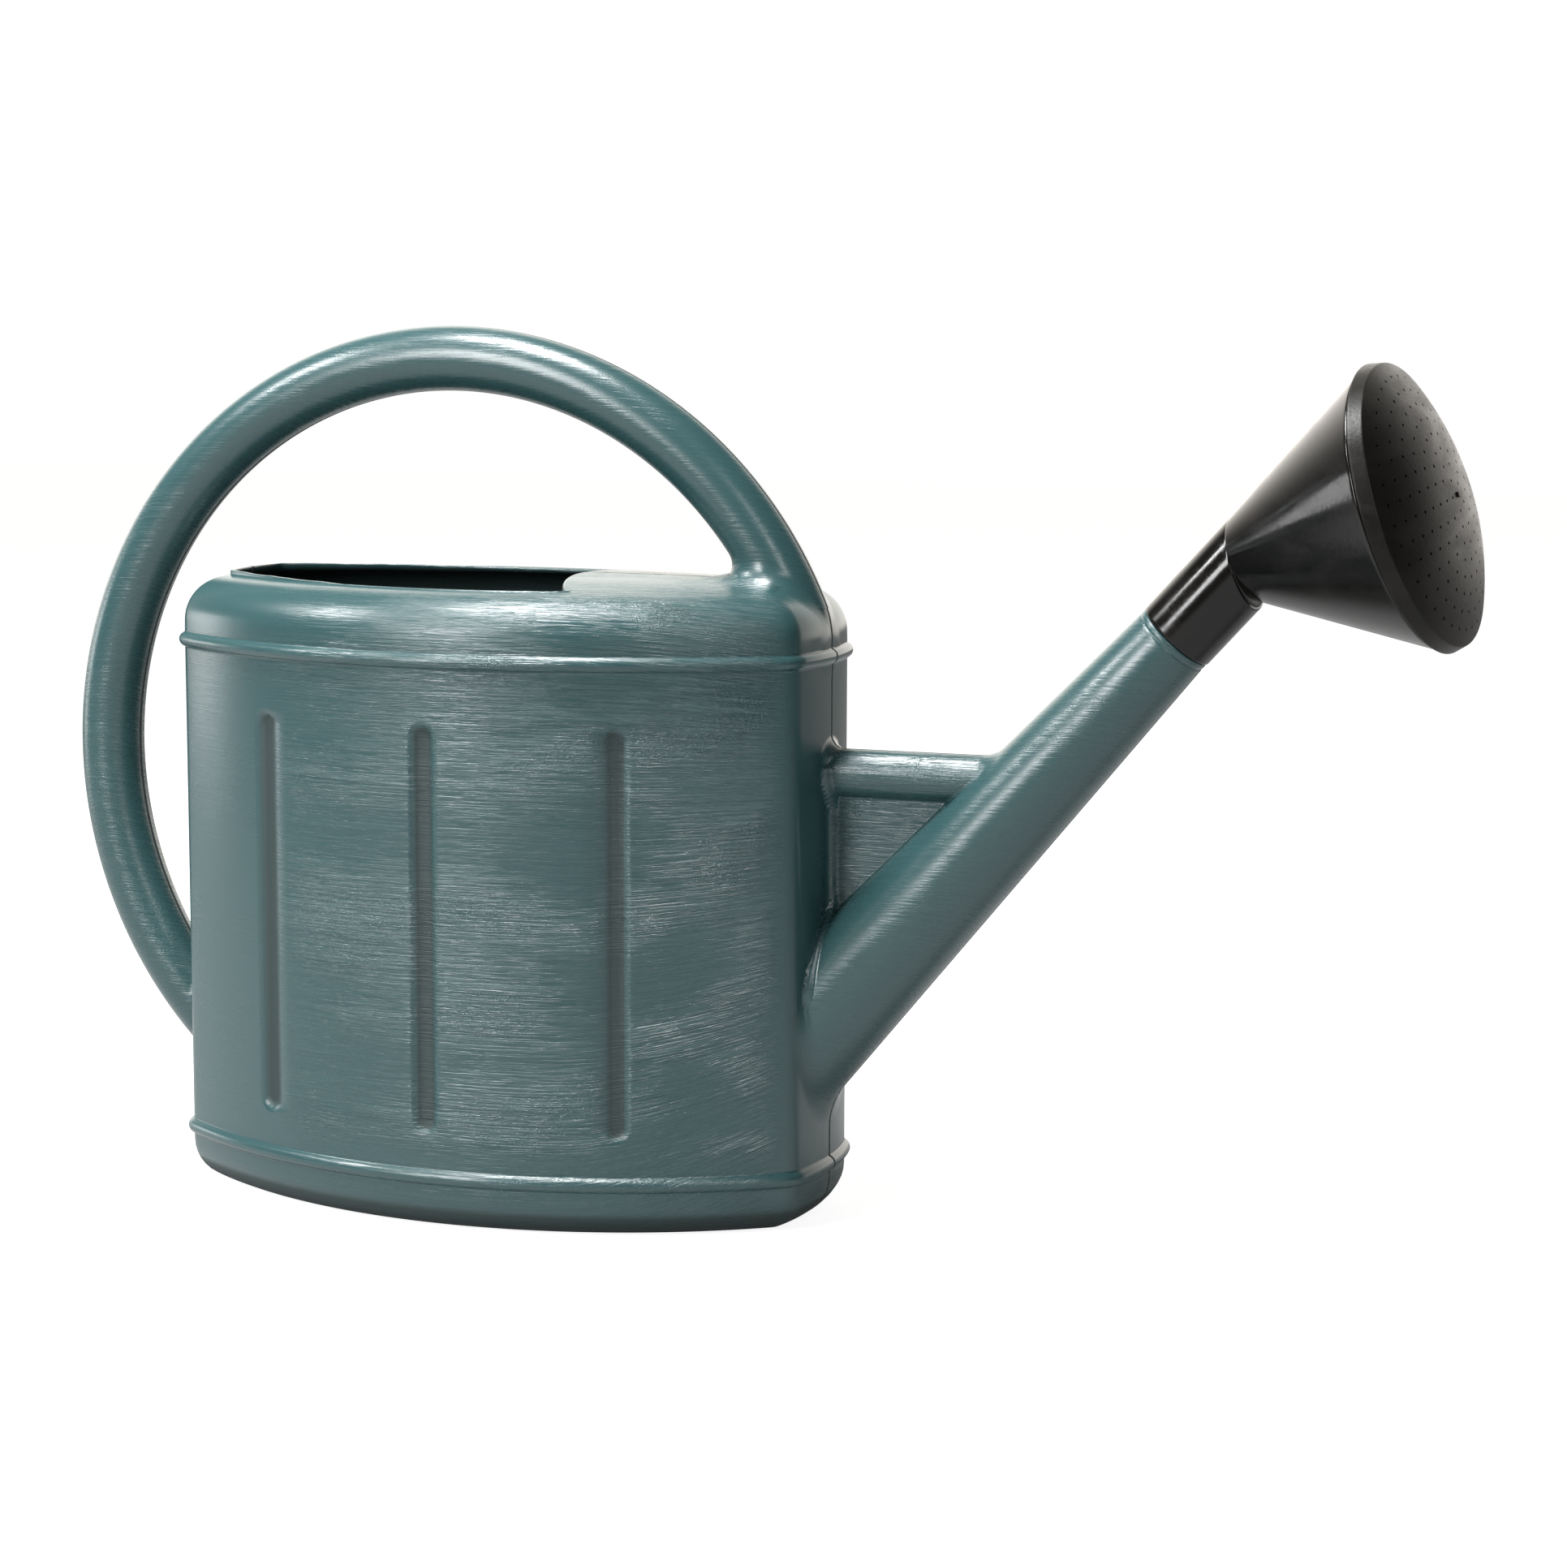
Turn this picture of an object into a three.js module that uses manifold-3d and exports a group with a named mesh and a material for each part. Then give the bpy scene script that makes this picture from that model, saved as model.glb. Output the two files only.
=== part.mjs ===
// Garden watering can of about 11 litres: a hollow blow-moulded can, and a push-on rose of two injection
// mouldings, the body and its perforated plate. The can's tank, hoop handle, spout and strut come out of one
// mould. Each is a solid of its own here, cut to the others' skins, and their hollows run into one another.
// Millimetres, +Z up, +X towards the spout, origin on the ground under the middle of the tank.

import * as THREE from "three";
import { mergeGeometries, mergeVertices } from "three/addons/utils/BufferGeometryUtils.js";
import Module from "manifold-3d";

const wasm = await Module();
wasm.setup();

// ---------- Tank ----------
const WALL = 1.8; // wall of the can moulding
const TANK_LENGTH = 305;
const TANK_WIDTH = 172.6;
const TANK_HEIGHT = 279.6; // where the shoulder runs out into the deck
const END_WIDTH = 69.4; // the gently bowed front and back, between their corners
const END_BOW = 4.4;
const CORNER_RADIUS = 12;
const BASE_RADIUS = 18.2;
const SHOULDER_RADIUS = 20.3;
const SHOULDER_SWEEP = 82; // degrees; the last few belong to the deck's crown
const DECK_CROWN = 5;
const CROWN_FLATNESS = 8; // the crown stays level along the can and drops only near its ends

const BEAD_HEIGHT = 7;
const BEAD_DEPTH = 2.7;
const LOWER_BEAD_Z = 24.9;
const UPPER_BEAD_DROP = 28.6; // below the deck's edge

const GROOVE_WIDTH = 12.4;
const GROOVE_DEPTH = 2.4;
const GROOVE_BOTTOM_Z = 43.8;
const GROOVE_TOP_DROP = 55.3; // below the deck's edge
const GROOVE_SPACING = 84;
const GROOVE_MIDDLE_X = -4;
const GROOVES_A_SIDE = 3;

// ---------- Mouth ----------
const MOUTH_INSET = 22; // from the tank's side to the mouth's edge
const MOUTH_CORNER_RADIUS = 5;
const TONGUE_RADIUS = 97.5; // the deck ends in a round tongue centred on the handle's front leg
const TONGUE_CHAMFER = 2.4;
const LIP_THICKNESS = 2;
const LIP_RISE = 2.4; // over the deck's edge at the back, from where the lip's cut top slopes down
const LIP_SLOPE = 1.1; // degrees
const LIP_FRONT_X = 12;

// ---------- Hoop handle ----------
const HOOP_X = -27.7;
const HOOP_DROP = 82.5; // from the deck's edge down to the hoop's middle
const HOOP_HALF_LENGTH = 178.7;
const HOOP_HALF_HEIGHT = 181.2;
const HANDLE_RADIUS = 14.4;
const HANDLE_FLARE = 5; // how far the legs widen where they meet the tank
const HANDLE_FLARE_LENGTH = 16;
const FRONT_LEG_BURY = 24; // how far each leg runs on inside the tank
const REAR_LEG_BURY = 10;

// ---------- Spout ----------
const SPOUT_RISE = 47.8; // degrees above the ground
const SPOUT_ROOT_Z = 95.9; // where its axis leaves the front of the tank
const SPOUT_ROOT_RADIUS = 27.95;
const SPOUT_LENGTH = 228.6; // from the front of the tank to the shoulder that stops the rose
const SPOUT_END_RADIUS = 17.2;
const SPOUT_FLARE = 3;
const SPOUT_FLARE_LENGTH = 12;
const SPOUT_BURY = 9; // how far its root runs on inside the tank
const SPIGOT_LENGTH = 26;
const ROSE_NECK_RADIUS = 17.65;
const ROSE_WALL = 1.6;
const GAP = 0.3; // between pieces that touch or run on each other

// ---------- Strut and web between tank and spout ----------
const STRUT_Z = 200.3;
const STRUT_RADIUS = 10.5;
const WEB_THICKNESS = 6;
const WEB_BEAD_RADIUS = 5.3; // thickened edges where the web meets tank and spout

// ---------- Rose ----------
const ROSE_TURN = 15; // degrees, the way the rose sits turned on the spigot
const ROSE_BEND = 30.7; // degrees between neck and cone
const NECK_LENGTH = 42.95; // from the spout's shoulder to the bend, on the neck's axis
const CONE_SHIFT = 1.9; // the cone starts that much above the neck's axis, so a ledge shows under it
const CONE_LENGTH = 74.3;
const CONE_SMALL_RADIUS = 18.2;
const CONE_LARGE_RADIUS = 60.2;
const SEAT_RADIUS = 58.4; // the straight seat that the plate's skirt goes over
const SEAT_LENGTH = 4.4;
const PLATE_RADIUS = 61.4;
const PLATE_FRONT_RADIUS = 59.9;
const SKIRT_LENGTH = 6.3;
const PLATE_WALL = 1.6;
const DOME_HEIGHT = 14.3;
const HOLE_RADIUS = 0.7;
const HOLE_RINGS = 8;
const HOLE_RING_SPACING = 6.67;
const HOLES_PER_RING = 5; // the first ring's, and each next ring has as many more
const NIB_SIZE = 2; // the gate's stub in the middle of the plate

// ---------- Facets ----------
const END_STEPS = 2;
const CORNER_STEPS = 3;
const SIDE_STEPS = 7;
const FILLET_STEPS = 4;
const BEAD_STEPS = 4;
const CHANNEL_PART = 0.6; // the channel behind a bead, as a part of the bead
const CROWN_RINGS = [0.92, 0.75, 0.5, 0.25]; // parts of the deck's width and length
const FLARE_PARTS = [0, 0.25, 0.55, 1]; // stations along a flared root, as parts of its length
const GROOVE_CAP_STEPS = 4;
const GROOVE_SIDES = 18;
const TONGUE_SIDES = 64;
const HOOP_STEPS = 24;
const HANDLE_SIDES = 16;
const HANDLE_BORE_SIDES = 12;
const SPOUT_SIDES = 28;
const STRUT_SIDES = 16;
const ROSE_SIDES = 40;
const DOME_STEPS = 4;
const HOLE_SIDES = 4;

const radians = THREE.MathUtils.degToRad;
const halfLength = TANK_LENGTH / 2;
const halfWidth = TANK_WIDTH / 2;
const upperBeadZ = TANK_HEIGHT - UPPER_BEAD_DROP;
const grooveTopZ = TANK_HEIGHT - GROOVE_TOP_DROP;
const lipRearZ = TANK_HEIGHT + LIP_RISE;
const hoopZ = TANK_HEIGHT - HOOP_DROP;
const HOOP_MEAN_RADIUS = (HOOP_HALF_LENGTH + HOOP_HALF_HEIGHT) / 2;

// ---------- Solids ----------

/** A closed geometry as a solid that can be joined and cut. */
function solidOf(geometry) {
  const bare = geometry.clone();
  bare.deleteAttribute("normal");
  bare.deleteAttribute("uv");
  const merged = mergeVertices(bare, 1e-5);
  return new wasm.Manifold(
    new wasm.Mesh({
      numProp: 3,
      vertProperties: Float32Array.from(merged.attributes.position.array),
      triVerts: Uint32Array.from(merged.index.array),
    }),
  );
}

/** A solid as a flat-shaded geometry. */
function geometryOf(solid) {
  const mesh = solid.getMesh();
  const geometry = new THREE.BufferGeometry();
  geometry.setAttribute("position", new THREE.BufferAttribute(mesh.vertProperties, 3));
  geometry.setIndex(new THREE.BufferAttribute(mesh.triVerts, 1));
  geometry.computeVertexNormals();
  return geometry;
}

/** Joins any number of solids. */
function join(...solids) {
  return solids.reduce((sum, solid) => sum.add(solid));
}

/** A closed skin over rings that run counter-clockwise about the way they go, fanned shut at both ends. */
function loft(rings) {
  const count = rings[0].length;
  const middle = (ring) => ring.reduce((sum, p) => sum.add(p), new THREE.Vector3()).divideScalar(count);
  const points = [...rings.flat(), middle(rings[0]), middle(rings.at(-1))];
  const firstMiddle = points.length - 2;
  const lastMiddle = points.length - 1;
  const lastRing = (rings.length - 1) * count;
  const index = [];
  for (let i = 0; i < count; i++) {
    const next = (i + 1) % count;
    index.push(firstMiddle, next, i, lastMiddle, lastRing + i, lastRing + next);
    for (let low = 0; low < lastRing; low += count) {
      index.push(low + i, low + next, low + count + next, low + i, low + count + next, low + count + i);
    }
  }
  const geometry = new THREE.BufferGeometry().setFromPoints(points);
  geometry.setIndex(index);
  return solidOf(geometry);
}

/** A turned solid about +Z from its profile of [radius, z] pairs, which starts and ends on the axis. */
function turned(profile, sides) {
  const lathe = new THREE.LatheGeometry(profile.map(([r, z]) => new THREE.Vector2(r, z)), sides);
  return solidOf(lathe.rotateX(Math.PI / 2));
}

/** A straight prism over an outline of [x, y] pairs. */
function prism(outline, bottom, top) {
  const shape = new THREE.Shape(outline.map(([x, y]) => new THREE.Vector2(x, y)));
  const geometry = new THREE.ExtrudeGeometry(shape, { depth: top - bottom, bevelEnabled: false, steps: 1 });
  return solidOf(geometry.translate(0, 0, bottom));
}

/** A block given by its two corners. */
function block(low, high) {
  const size = high.map((value, i) => value - low[i]);
  const geometry = new THREE.BoxGeometry(...size);
  return solidOf(geometry.translate(...low.map((value, i) => value + size[i] / 2)));
}

/** Puts a geometry-placing matrix on a solid. */
function placed(solid, matrix) {
  return solid.transform(matrix.elements);
}

/** An arc's points from one angle to another, in radians, both ends included. */
function arc(centreX, centreY, radius, from, to, steps) {
  return Array.from({ length: steps + 1 }, (_, i) => {
    const angle = from + ((to - from) * i) / steps;
    return [centreX + radius * Math.cos(angle), centreY + radius * Math.sin(angle)];
  });
}

// ---------- Plan of the tank ----------

/** The radius of an arc with a half chord and a height. */
function arcRadius(halfChord, height) {
  return (halfChord ** 2 + height ** 2) / (2 * height);
}

/** The radius of the tank's long side in plan. */
function sideArcRadius() {
  return arcRadius(halfLength - END_BOW, halfWidth - END_WIDTH / 2);
}

/** The tank's plan, drawn in by an inset: two shallow side arcs and two bowed ends, with rounded corners. */
function plan(inset, leastCorner = 1) {
  const sideRadius = sideArcRadius();
  const endRadius = arcRadius(END_WIDTH / 2, END_BOW);
  const sideY = halfWidth - sideRadius;
  const endX = halfLength - endRadius;
  const corner = Math.max(CORNER_RADIUS - inset, leastCorner);
  const fromSide = sideRadius - inset - corner;
  const fromEnd = endRadius - inset - corner;
  const apart = Math.hypot(endX, sideY);
  const along = (fromSide ** 2 - fromEnd ** 2 + apart ** 2) / (2 * apart);
  const off = Math.sqrt(fromSide ** 2 - along ** 2);
  const cornerX = (along * endX - off * sideY) / apart;
  const cornerY = sideY - (along * sideY + off * endX) / apart;
  const endAngle = Math.atan2(cornerY, cornerX - endX);
  const sideAngle = Math.atan2(cornerY - sideY, cornerX);
  const quarter = [
    ...arc(endX, 0, endRadius - inset, 0, endAngle, END_STEPS).slice(0, -1),
    ...arc(cornerX, cornerY, corner, endAngle, sideAngle, CORNER_STEPS).slice(0, -1),
    ...arc(0, sideY, sideRadius - inset, sideAngle, Math.PI / 2, SIDE_STEPS),
  ];
  const left = quarter.slice(0, -1).reverse().map(([x, y]) => [-x, y]);
  const half = [...quarter, ...left];
  return [...half, ...half.slice(1, -1).reverse().map(([x, y]) => [x, -y])];
}

/** One level of the tank: its plan at an inset and a height. */
function level(inset, z) {
  return plan(inset).map(([x, y]) => new THREE.Vector3(x, y, z));
}

/** How high the deck's crown stands over the shoulder's edge at a place. */
function crownAt(x, y) {
  const edgeY = Math.sqrt((sideArcRadius() - SHOULDER_RADIUS) ** 2 - x ** 2) + halfWidth - sideArcRadius();
  const across = Math.min(Math.abs(y) / Math.max(edgeY, 1), 1);
  const along = Math.min(Math.abs(x) / (halfLength - SHOULDER_RADIUS), 1);
  return DECK_CROWN * (1 - across ** 2) * (1 - along ** CROWN_FLATNESS);
}

/** A rounding between the side and the flat base or deck, as [inset, z] pairs from one angle to another. */
function rounding(radius, inset, z, from, to) {
  const steps = arc(0, 0, radius - inset, radians(from), radians(to), FILLET_STEPS);
  return steps.map(([out, up]) => [radius - out, z + up]);
}

/** A bead standing out of the side, as [inset, z] pairs from below to above. */
function bead(z, inset) {
  const radius = arcRadius(BEAD_HEIGHT / 2, BEAD_DEPTH);
  const reach = Math.asin(BEAD_HEIGHT / 2 / radius);
  return arc(0, z, radius, -reach, reach, BEAD_STEPS).map(([out, up]) => [
    inset + radius - BEAD_DEPTH - out,
    up,
  ]);
}

/** The shallow channel inside the tank behind a bead, as [inset, z] pairs from below to above. */
function beadChannel(z) {
  const half = (BEAD_HEIGHT / 2) * CHANNEL_PART;
  return [[WALL, z - half], [WALL - BEAD_DEPTH * CHANNEL_PART, z], [WALL, z + half]];
}

/** The tank's closed skin, drawn in by an inset: nothing for its outside, the wall for its inside. */
function tank(inset) {
  const beadAt = inset > 0 ? beadChannel : bead;
  const levels = [
    ...rounding(BASE_RADIUS, inset, BASE_RADIUS, -90, 0),
    ...beadAt(LOWER_BEAD_Z, inset),
    ...beadAt(upperBeadZ, inset),
    ...rounding(SHOULDER_RADIUS, inset, TANK_HEIGHT - SHOULDER_RADIUS, 0, SHOULDER_SWEEP),
  ].map(([drawnIn, z]) => level(drawnIn, z));
  const rim = levels.at(-1);
  const crown = CROWN_RINGS.map((scale) =>
    rim.map(({ x, y, z }) => new THREE.Vector3(x * scale, y * scale, z + crownAt(x * scale, y * scale))),
  );
  return loft([...levels, ...crown]);
}

/** One groove's cutter, a capsule that leaves a wall of the given thickness behind it. */
function grooveCutter(x, side, wall) {
  const sideRadius = sideArcRadius();
  const lean = Math.asin(x / sideRadius);
  const radius = arcRadius(GROOVE_WIDTH / 2, GROOVE_DEPTH);
  const out = sideRadius - GROOVE_DEPTH + radius;
  const capsule = new THREE.CapsuleGeometry(radius + wall, grooveStraight(), GROOVE_CAP_STEPS, GROOVE_SIDES);
  capsule.rotateX(Math.PI / 2);
  const y = side * (out * Math.cos(lean) + halfWidth - sideRadius);
  return solidOf(capsule.translate(out * Math.sin(lean), y, (grooveTopZ + GROOVE_BOTTOM_Z) / 2));
}

/** The straight part of a groove between its round ends. */
function grooveStraight() {
  return grooveTopZ - GROOVE_BOTTOM_Z - GROOVE_WIDTH;
}

/** All the grooves' cutters. */
function grooveCutters(wall) {
  const cutters = [];
  for (let i = 0; i < GROOVES_A_SIDE; i++) {
    const x = GROOVE_MIDDLE_X + (i - (GROOVES_A_SIDE - 1) / 2) * GROOVE_SPACING;
    cutters.push(grooveCutter(x, -1, wall), grooveCutter(x, 1, wall));
  }
  return join(...cutters);
}

// ---------- Mouth ----------

/** The part of the deck that stays in front of the mouth: a round tongue with its edge cut on the slant. */
function tongue() {
  const foot = TANK_HEIGHT - SHOULDER_RADIUS - 1;
  const edge = TANK_HEIGHT + DECK_CROWN - WALL;
  const top = lipRearZ + 2 * DECK_CROWN + TONGUE_CHAMFER;
  const narrow = TONGUE_RADIUS - TONGUE_CHAMFER;
  const side = [[TONGUE_RADIUS, foot], [TONGUE_RADIUS, edge], [narrow, edge + TONGUE_CHAMFER], [narrow, top]];
  return turned([[0, foot], ...side, [0, top]], TONGUE_SIDES).translate(hoopFrontX(), 0, 0);
}

/** The mouth's cutter. */
function mouthCutter() {
  const outline = plan(MOUTH_INSET, MOUTH_CORNER_RADIUS);
  return prism(outline, TANK_HEIGHT - SHOULDER_RADIUS, lipRearZ + 2 * DECK_CROWN).subtract(tongue());
}

/** The lip standing round the back and sides of the mouth, its cut top sloping down to the front. */
function lip() {
  const outer = plan(MOUTH_INSET - LIP_THICKNESS, MOUTH_CORNER_RADIUS + LIP_THICKNESS);
  const back = Math.min(...outer.map(([x]) => x));
  const foot = TANK_HEIGHT - WALL / 2;
  const ring = prism(outer, foot, lipRearZ);
  const ahead = block([LIP_FRONT_X, -halfWidth, foot - 1], [halfLength, halfWidth, lipRearZ + 1]);
  const over = block([-MOUTH_INSET, -halfWidth, 0], [TANK_LENGTH, halfWidth, MOUTH_INSET]);
  const slope = new THREE.Matrix4().makeRotationY(radians(LIP_SLOPE)).setPosition(back, 0, lipRearZ);
  return ring.subtract(ahead).subtract(placed(over, slope));
}

// ---------- Handle, spout and strut ----------

/** A skin swept along a way: each station has a distance, a radius, and how far it leans along the way. */
function sweep(wayAt, stations, sides) {
  const rings = stations.map(({ distance, radius, lean = 0 }) =>
    Array.from({ length: sides }, (_, k) => {
      const angle = (2 * Math.PI * k) / sides;
      const { centre, along, up } = wayAt(distance + lean * Math.cos(angle));
      const out = up.clone().multiplyScalar(Math.cos(angle));
      out.addScaledVector(along.clone().cross(up), Math.sin(angle));
      return centre.addScaledVector(out, radius);
    }),
  );
  return loft(rings);
}

/** The stations of a flared root: how far each lies from the wall, and how much wider than the bar it is. */
function flareStations(reach, amount) {
  return FLARE_PARTS.map((part) => ({ away: part * reach, more: amount * (1 - part) ** 2 }));
}

/** The hoop's angle where its middle line passes the deck. */
function hoopFrontAngle() {
  return Math.asin((TANK_HEIGHT - hoopZ) / HOOP_HALF_HEIGHT);
}

/** Where the hoop's middle line passes the deck, along X. */
function hoopFrontX() {
  return HOOP_X + HOOP_HALF_LENGTH * Math.cos(hoopFrontAngle());
}

/** The hoop's way, by the distance travelled from the deck up, over and down to the back wall. */
function hoopAt(distance) {
  const angle = hoopFrontAngle() + distance / HOOP_MEAN_RADIUS;
  const [c, s] = [Math.cos(angle), Math.sin(angle)];
  return {
    centre: new THREE.Vector3(HOOP_X + HOOP_HALF_LENGTH * c, 0, hoopZ + HOOP_HALF_HEIGHT * s),
    along: new THREE.Vector3(-HOOP_HALF_LENGTH * s, 0, HOOP_HALF_HEIGHT * c).normalize(),
    up: new THREE.Vector3(HOOP_HALF_HEIGHT * c, 0, HOOP_HALF_LENGTH * s).normalize(),
  };
}

/** The length of the hoop's way between the deck and the back wall. */
function hoopLength() {
  const rearAngle = 2 * Math.PI - Math.acos((-halfLength - HOOP_X) / HOOP_HALF_LENGTH);
  return (rearAngle - hoopFrontAngle()) * HOOP_MEAN_RADIUS;
}

/** The hoop handle with both its legs run on into the tank, cut flush with the tank's front. */
function hoop(inset) {
  const length = hoopLength();
  const radius = HANDLE_RADIUS - inset;
  const frontLean = -radius * Math.tan(hoopFrontAngle());
  const rearLean = radius;
  const flares = flareStations(HANDLE_FLARE_LENGTH, HANDLE_FLARE);
  const frontRoot = flares.map(({ away, more }) => ({
    distance: away,
    radius: radius + more,
    lean: frontLean,
  }));
  const rearRoot = flares.map(({ away, more }) => ({
    distance: length - away,
    radius: radius + more,
    lean: rearLean,
  }));
  const clear = HANDLE_FLARE_LENGTH + 1.5 * HANDLE_RADIUS;
  const middle = Array.from({ length: HOOP_STEPS + 1 }, (_, i) => ({
    distance: clear + ((length - 2 * clear) * i) / HOOP_STEPS,
    radius,
  }));
  const stations = [
    { distance: -FRONT_LEG_BURY, radius, lean: frontLean },
    ...frontRoot,
    ...middle,
    ...rearRoot.reverse(),
    { distance: length + REAR_LEG_BURY, radius: radius + HANDLE_FLARE, lean: rearLean },
  ];
  const sides = inset > 0 ? HANDLE_BORE_SIDES : HANDLE_SIDES;
  const top = hoopZ + HOOP_HALF_HEIGHT;
  const inFront = block([TANK_LENGTH / 4, -halfWidth, 0], [TANK_LENGTH, halfWidth, top]);
  return sweep(hoopAt, stations, sides).subtract(inFront.subtract(prism(plan(inset), -1, top + 1)));
}

/** The spout's way, by the distance from the front of the tank along its axis. */
function spoutAt(distance) {
  const [c, s] = [Math.cos(radians(SPOUT_RISE)), Math.sin(radians(SPOUT_RISE))];
  return {
    centre: new THREE.Vector3(halfLength + distance * c, 0, SPOUT_ROOT_Z + distance * s),
    along: new THREE.Vector3(c, 0, s),
    up: new THREE.Vector3(-s, 0, c),
  };
}

/** The spout's outer radius at a distance along it. */
function spoutRadius(distance) {
  return SPOUT_ROOT_RADIUS + ((SPOUT_END_RADIUS - SPOUT_ROOT_RADIUS) * distance) / SPOUT_LENGTH;
}

/** The spout from inside the tank to the end of the spigot that carries the rose. */
function spout(inset) {
  const lean = SPOUT_ROOT_RADIUS * Math.tan(radians(SPOUT_RISE));
  const root = flareStations(SPOUT_FLARE_LENGTH, SPOUT_FLARE).map(({ away, more }) => ({
    distance: away,
    radius: spoutRadius(away) + more - inset,
    lean,
  }));
  const straight = [0.25, 0.5, 0.75].map((part) => ({
    distance: part * SPOUT_LENGTH,
    radius: spoutRadius(part * SPOUT_LENGTH) - inset,
  }));
  const spigotRadius = ROSE_NECK_RADIUS - ROSE_WALL - GAP - inset;
  const end = SPOUT_LENGTH - inset;
  const stations = [
    { distance: -SPOUT_BURY, radius: SPOUT_ROOT_RADIUS + SPOUT_FLARE - inset, lean },
    ...root,
    ...straight,
    { distance: end, radius: SPOUT_END_RADIUS - inset },
    { distance: end, radius: spigotRadius },
    { distance: SPOUT_LENGTH + SPIGOT_LENGTH + inset, radius: spigotRadius },
  ];
  return sweep(spoutAt, stations, SPOUT_SIDES);
}

/** The round strut between the front of the tank and the spout, and its hollow, which opens into both. */
function strut(inset) {
  const run = (STRUT_Z - SPOUT_ROOT_Z) / Math.tan(radians(SPOUT_RISE));
  const wayAt = (distance) => ({
    centre: new THREE.Vector3(halfLength + distance, 0, STRUT_Z),
    along: new THREE.Vector3(1, 0, 0),
    up: new THREE.Vector3(0, 0, 1),
  });
  const radius = STRUT_RADIUS - inset;
  return sweep(wayAt, [{ distance: -END_BOW, radius }, { distance: run, radius }], STRUT_SIDES);
}

/** The flat web that fills the corner between tank, strut and spout, with its thickened edges. */
function web() {
  const slope = Math.tan(radians(SPOUT_RISE));
  const spoutX = (z) => halfLength + (z - SPOUT_ROOT_Z) / slope;
  const foot = SPOUT_ROOT_Z + SPOUT_ROOT_RADIUS;
  const corners = [
    [halfLength - WALL / 2, foot],
    [spoutX(foot), foot],
    [spoutX(STRUT_Z), STRUT_Z],
    [halfLength - WALL / 2, STRUT_Z],
  ];
  const sheet = prism(corners, -WEB_THICKNESS / 2, WEB_THICKNESS / 2).rotate(90, 0, 0);
  const edgeAt = (distance) => ({
    centre: new THREE.Vector3(halfLength - END_BOW / 2, 0, foot + distance),
    along: new THREE.Vector3(0, 0, 1),
    up: new THREE.Vector3(1, 0, 0),
  });
  const ends = [0, STRUT_Z - foot].map((distance) => ({ distance, radius: WEB_BEAD_RADIUS }));
  return join(sheet, sweep(edgeAt, ends, STRUT_SIDES));
}

// ---------- Can moulding ----------

/** The tank with its grooves and the mouth's lip, open into the handle, the spout and the strut. */
function canTank() {
  const outside = join(tank(0).subtract(grooveCutters(0)), lip());
  const inside = join(tank(WALL).subtract(grooveCutters(WALL)), hoop(WALL), spout(WALL), strut(WALL));
  return outside.subtract(inside).subtract(mouthCutter());
}

/** The hoop handle, a tube that stands on the deck and comes back to the rear wall. */
function canHandle() {
  return hoop(0).subtract(join(hoop(WALL), tank(-GAP)));
}

/** The spout, a tapered tube from the front wall, with the strut's hollow opening into it. */
function canSpout() {
  return spout(0).subtract(join(spout(WALL), strut(WALL), tank(-GAP)));
}

/** The strut and its web, between the tank's skin and the spout's. */
function canStrut() {
  return join(strut(0), web()).subtract(join(strut(WALL), tank(-GAP), spout(-GAP)));
}

// ---------- Rose ----------

/** From the rose's own frame, +Z up its neck and +X to the side it bends to, to its place on the spout. */
function roseMatrix() {
  const turn = new THREE.Matrix4().makeRotationZ(radians(-ROSE_TURN));
  const aim = new THREE.Matrix4().makeRotationY(radians(90 - SPOUT_RISE));
  const { centre } = spoutAt(SPOUT_LENGTH);
  return new THREE.Matrix4().makeTranslation(centre).multiply(aim).multiply(turn);
}

/** From the cone's frame, +Z along its axis from its small end, to the rose's frame. */
function coneMatrix() {
  const bend = new THREE.Matrix4().makeRotationY(radians(ROSE_BEND)).setPosition(0, 0, NECK_LENGTH);
  return bend.multiply(new THREE.Matrix4().makeTranslation(-CONE_SHIFT, 0, 0));
}

/** A straight round bar on the rose's neck, cut off square to the cone a distance behind its small end. */
function neckBar(radius, bottom, behind) {
  const top = 2 * NECK_LENGTH;
  const bar = turned([[0, bottom], [radius, bottom], [radius, top], [0, top]], ROSE_SIDES);
  const far = 4 * radius;
  return bar.subtract(placed(block([-far, -far, -behind], [far, far, 2 * far]), coneMatrix()));
}

/** The rose's body: the neck that goes over the spigot, and the cone with the seat for the plate. */
function roseBody() {
  const seatTop = CONE_LENGTH + SEAT_LENGTH;
  const flank = [[CONE_SMALL_RADIUS, 0], [CONE_LARGE_RADIUS, CONE_LENGTH]];
  const seat = [[SEAT_RADIUS, CONE_LENGTH], [SEAT_RADIUS, seatTop]];
  const cone = turned([[0, 0], ...flank, ...seat, [0, seatTop]], ROSE_SIDES);
  const outside = join(neckBar(ROSE_NECK_RADIUS, GAP, 0), placed(cone, coneMatrix()));
  const bore = neckBar(ROSE_NECK_RADIUS - ROSE_WALL, -GAP, ROSE_WALL);
  return placed(outside.subtract(join(bore, placed(coneHollow(), coneMatrix()))), roseMatrix());
}

/** The inside of the cone, from the neck's end wall through to the open front. */
function coneHollow() {
  const slope = (CONE_LARGE_RADIUS - CONE_SMALL_RADIUS) / CONE_LENGTH;
  const throat = CONE_SMALL_RADIUS - ROSE_WALL * Math.hypot(1, slope);
  const mouth = SEAT_RADIUS - ROSE_WALL;
  const back = -ROSE_WALL - GAP;
  const front = CONE_LENGTH + SEAT_LENGTH + GAP;
  const side = [[throat, back], [throat, 0], [mouth, (mouth - throat) / slope], [mouth, front]];
  return turned([[0, back], ...side, [0, front]], ROSE_SIDES);
}

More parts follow.
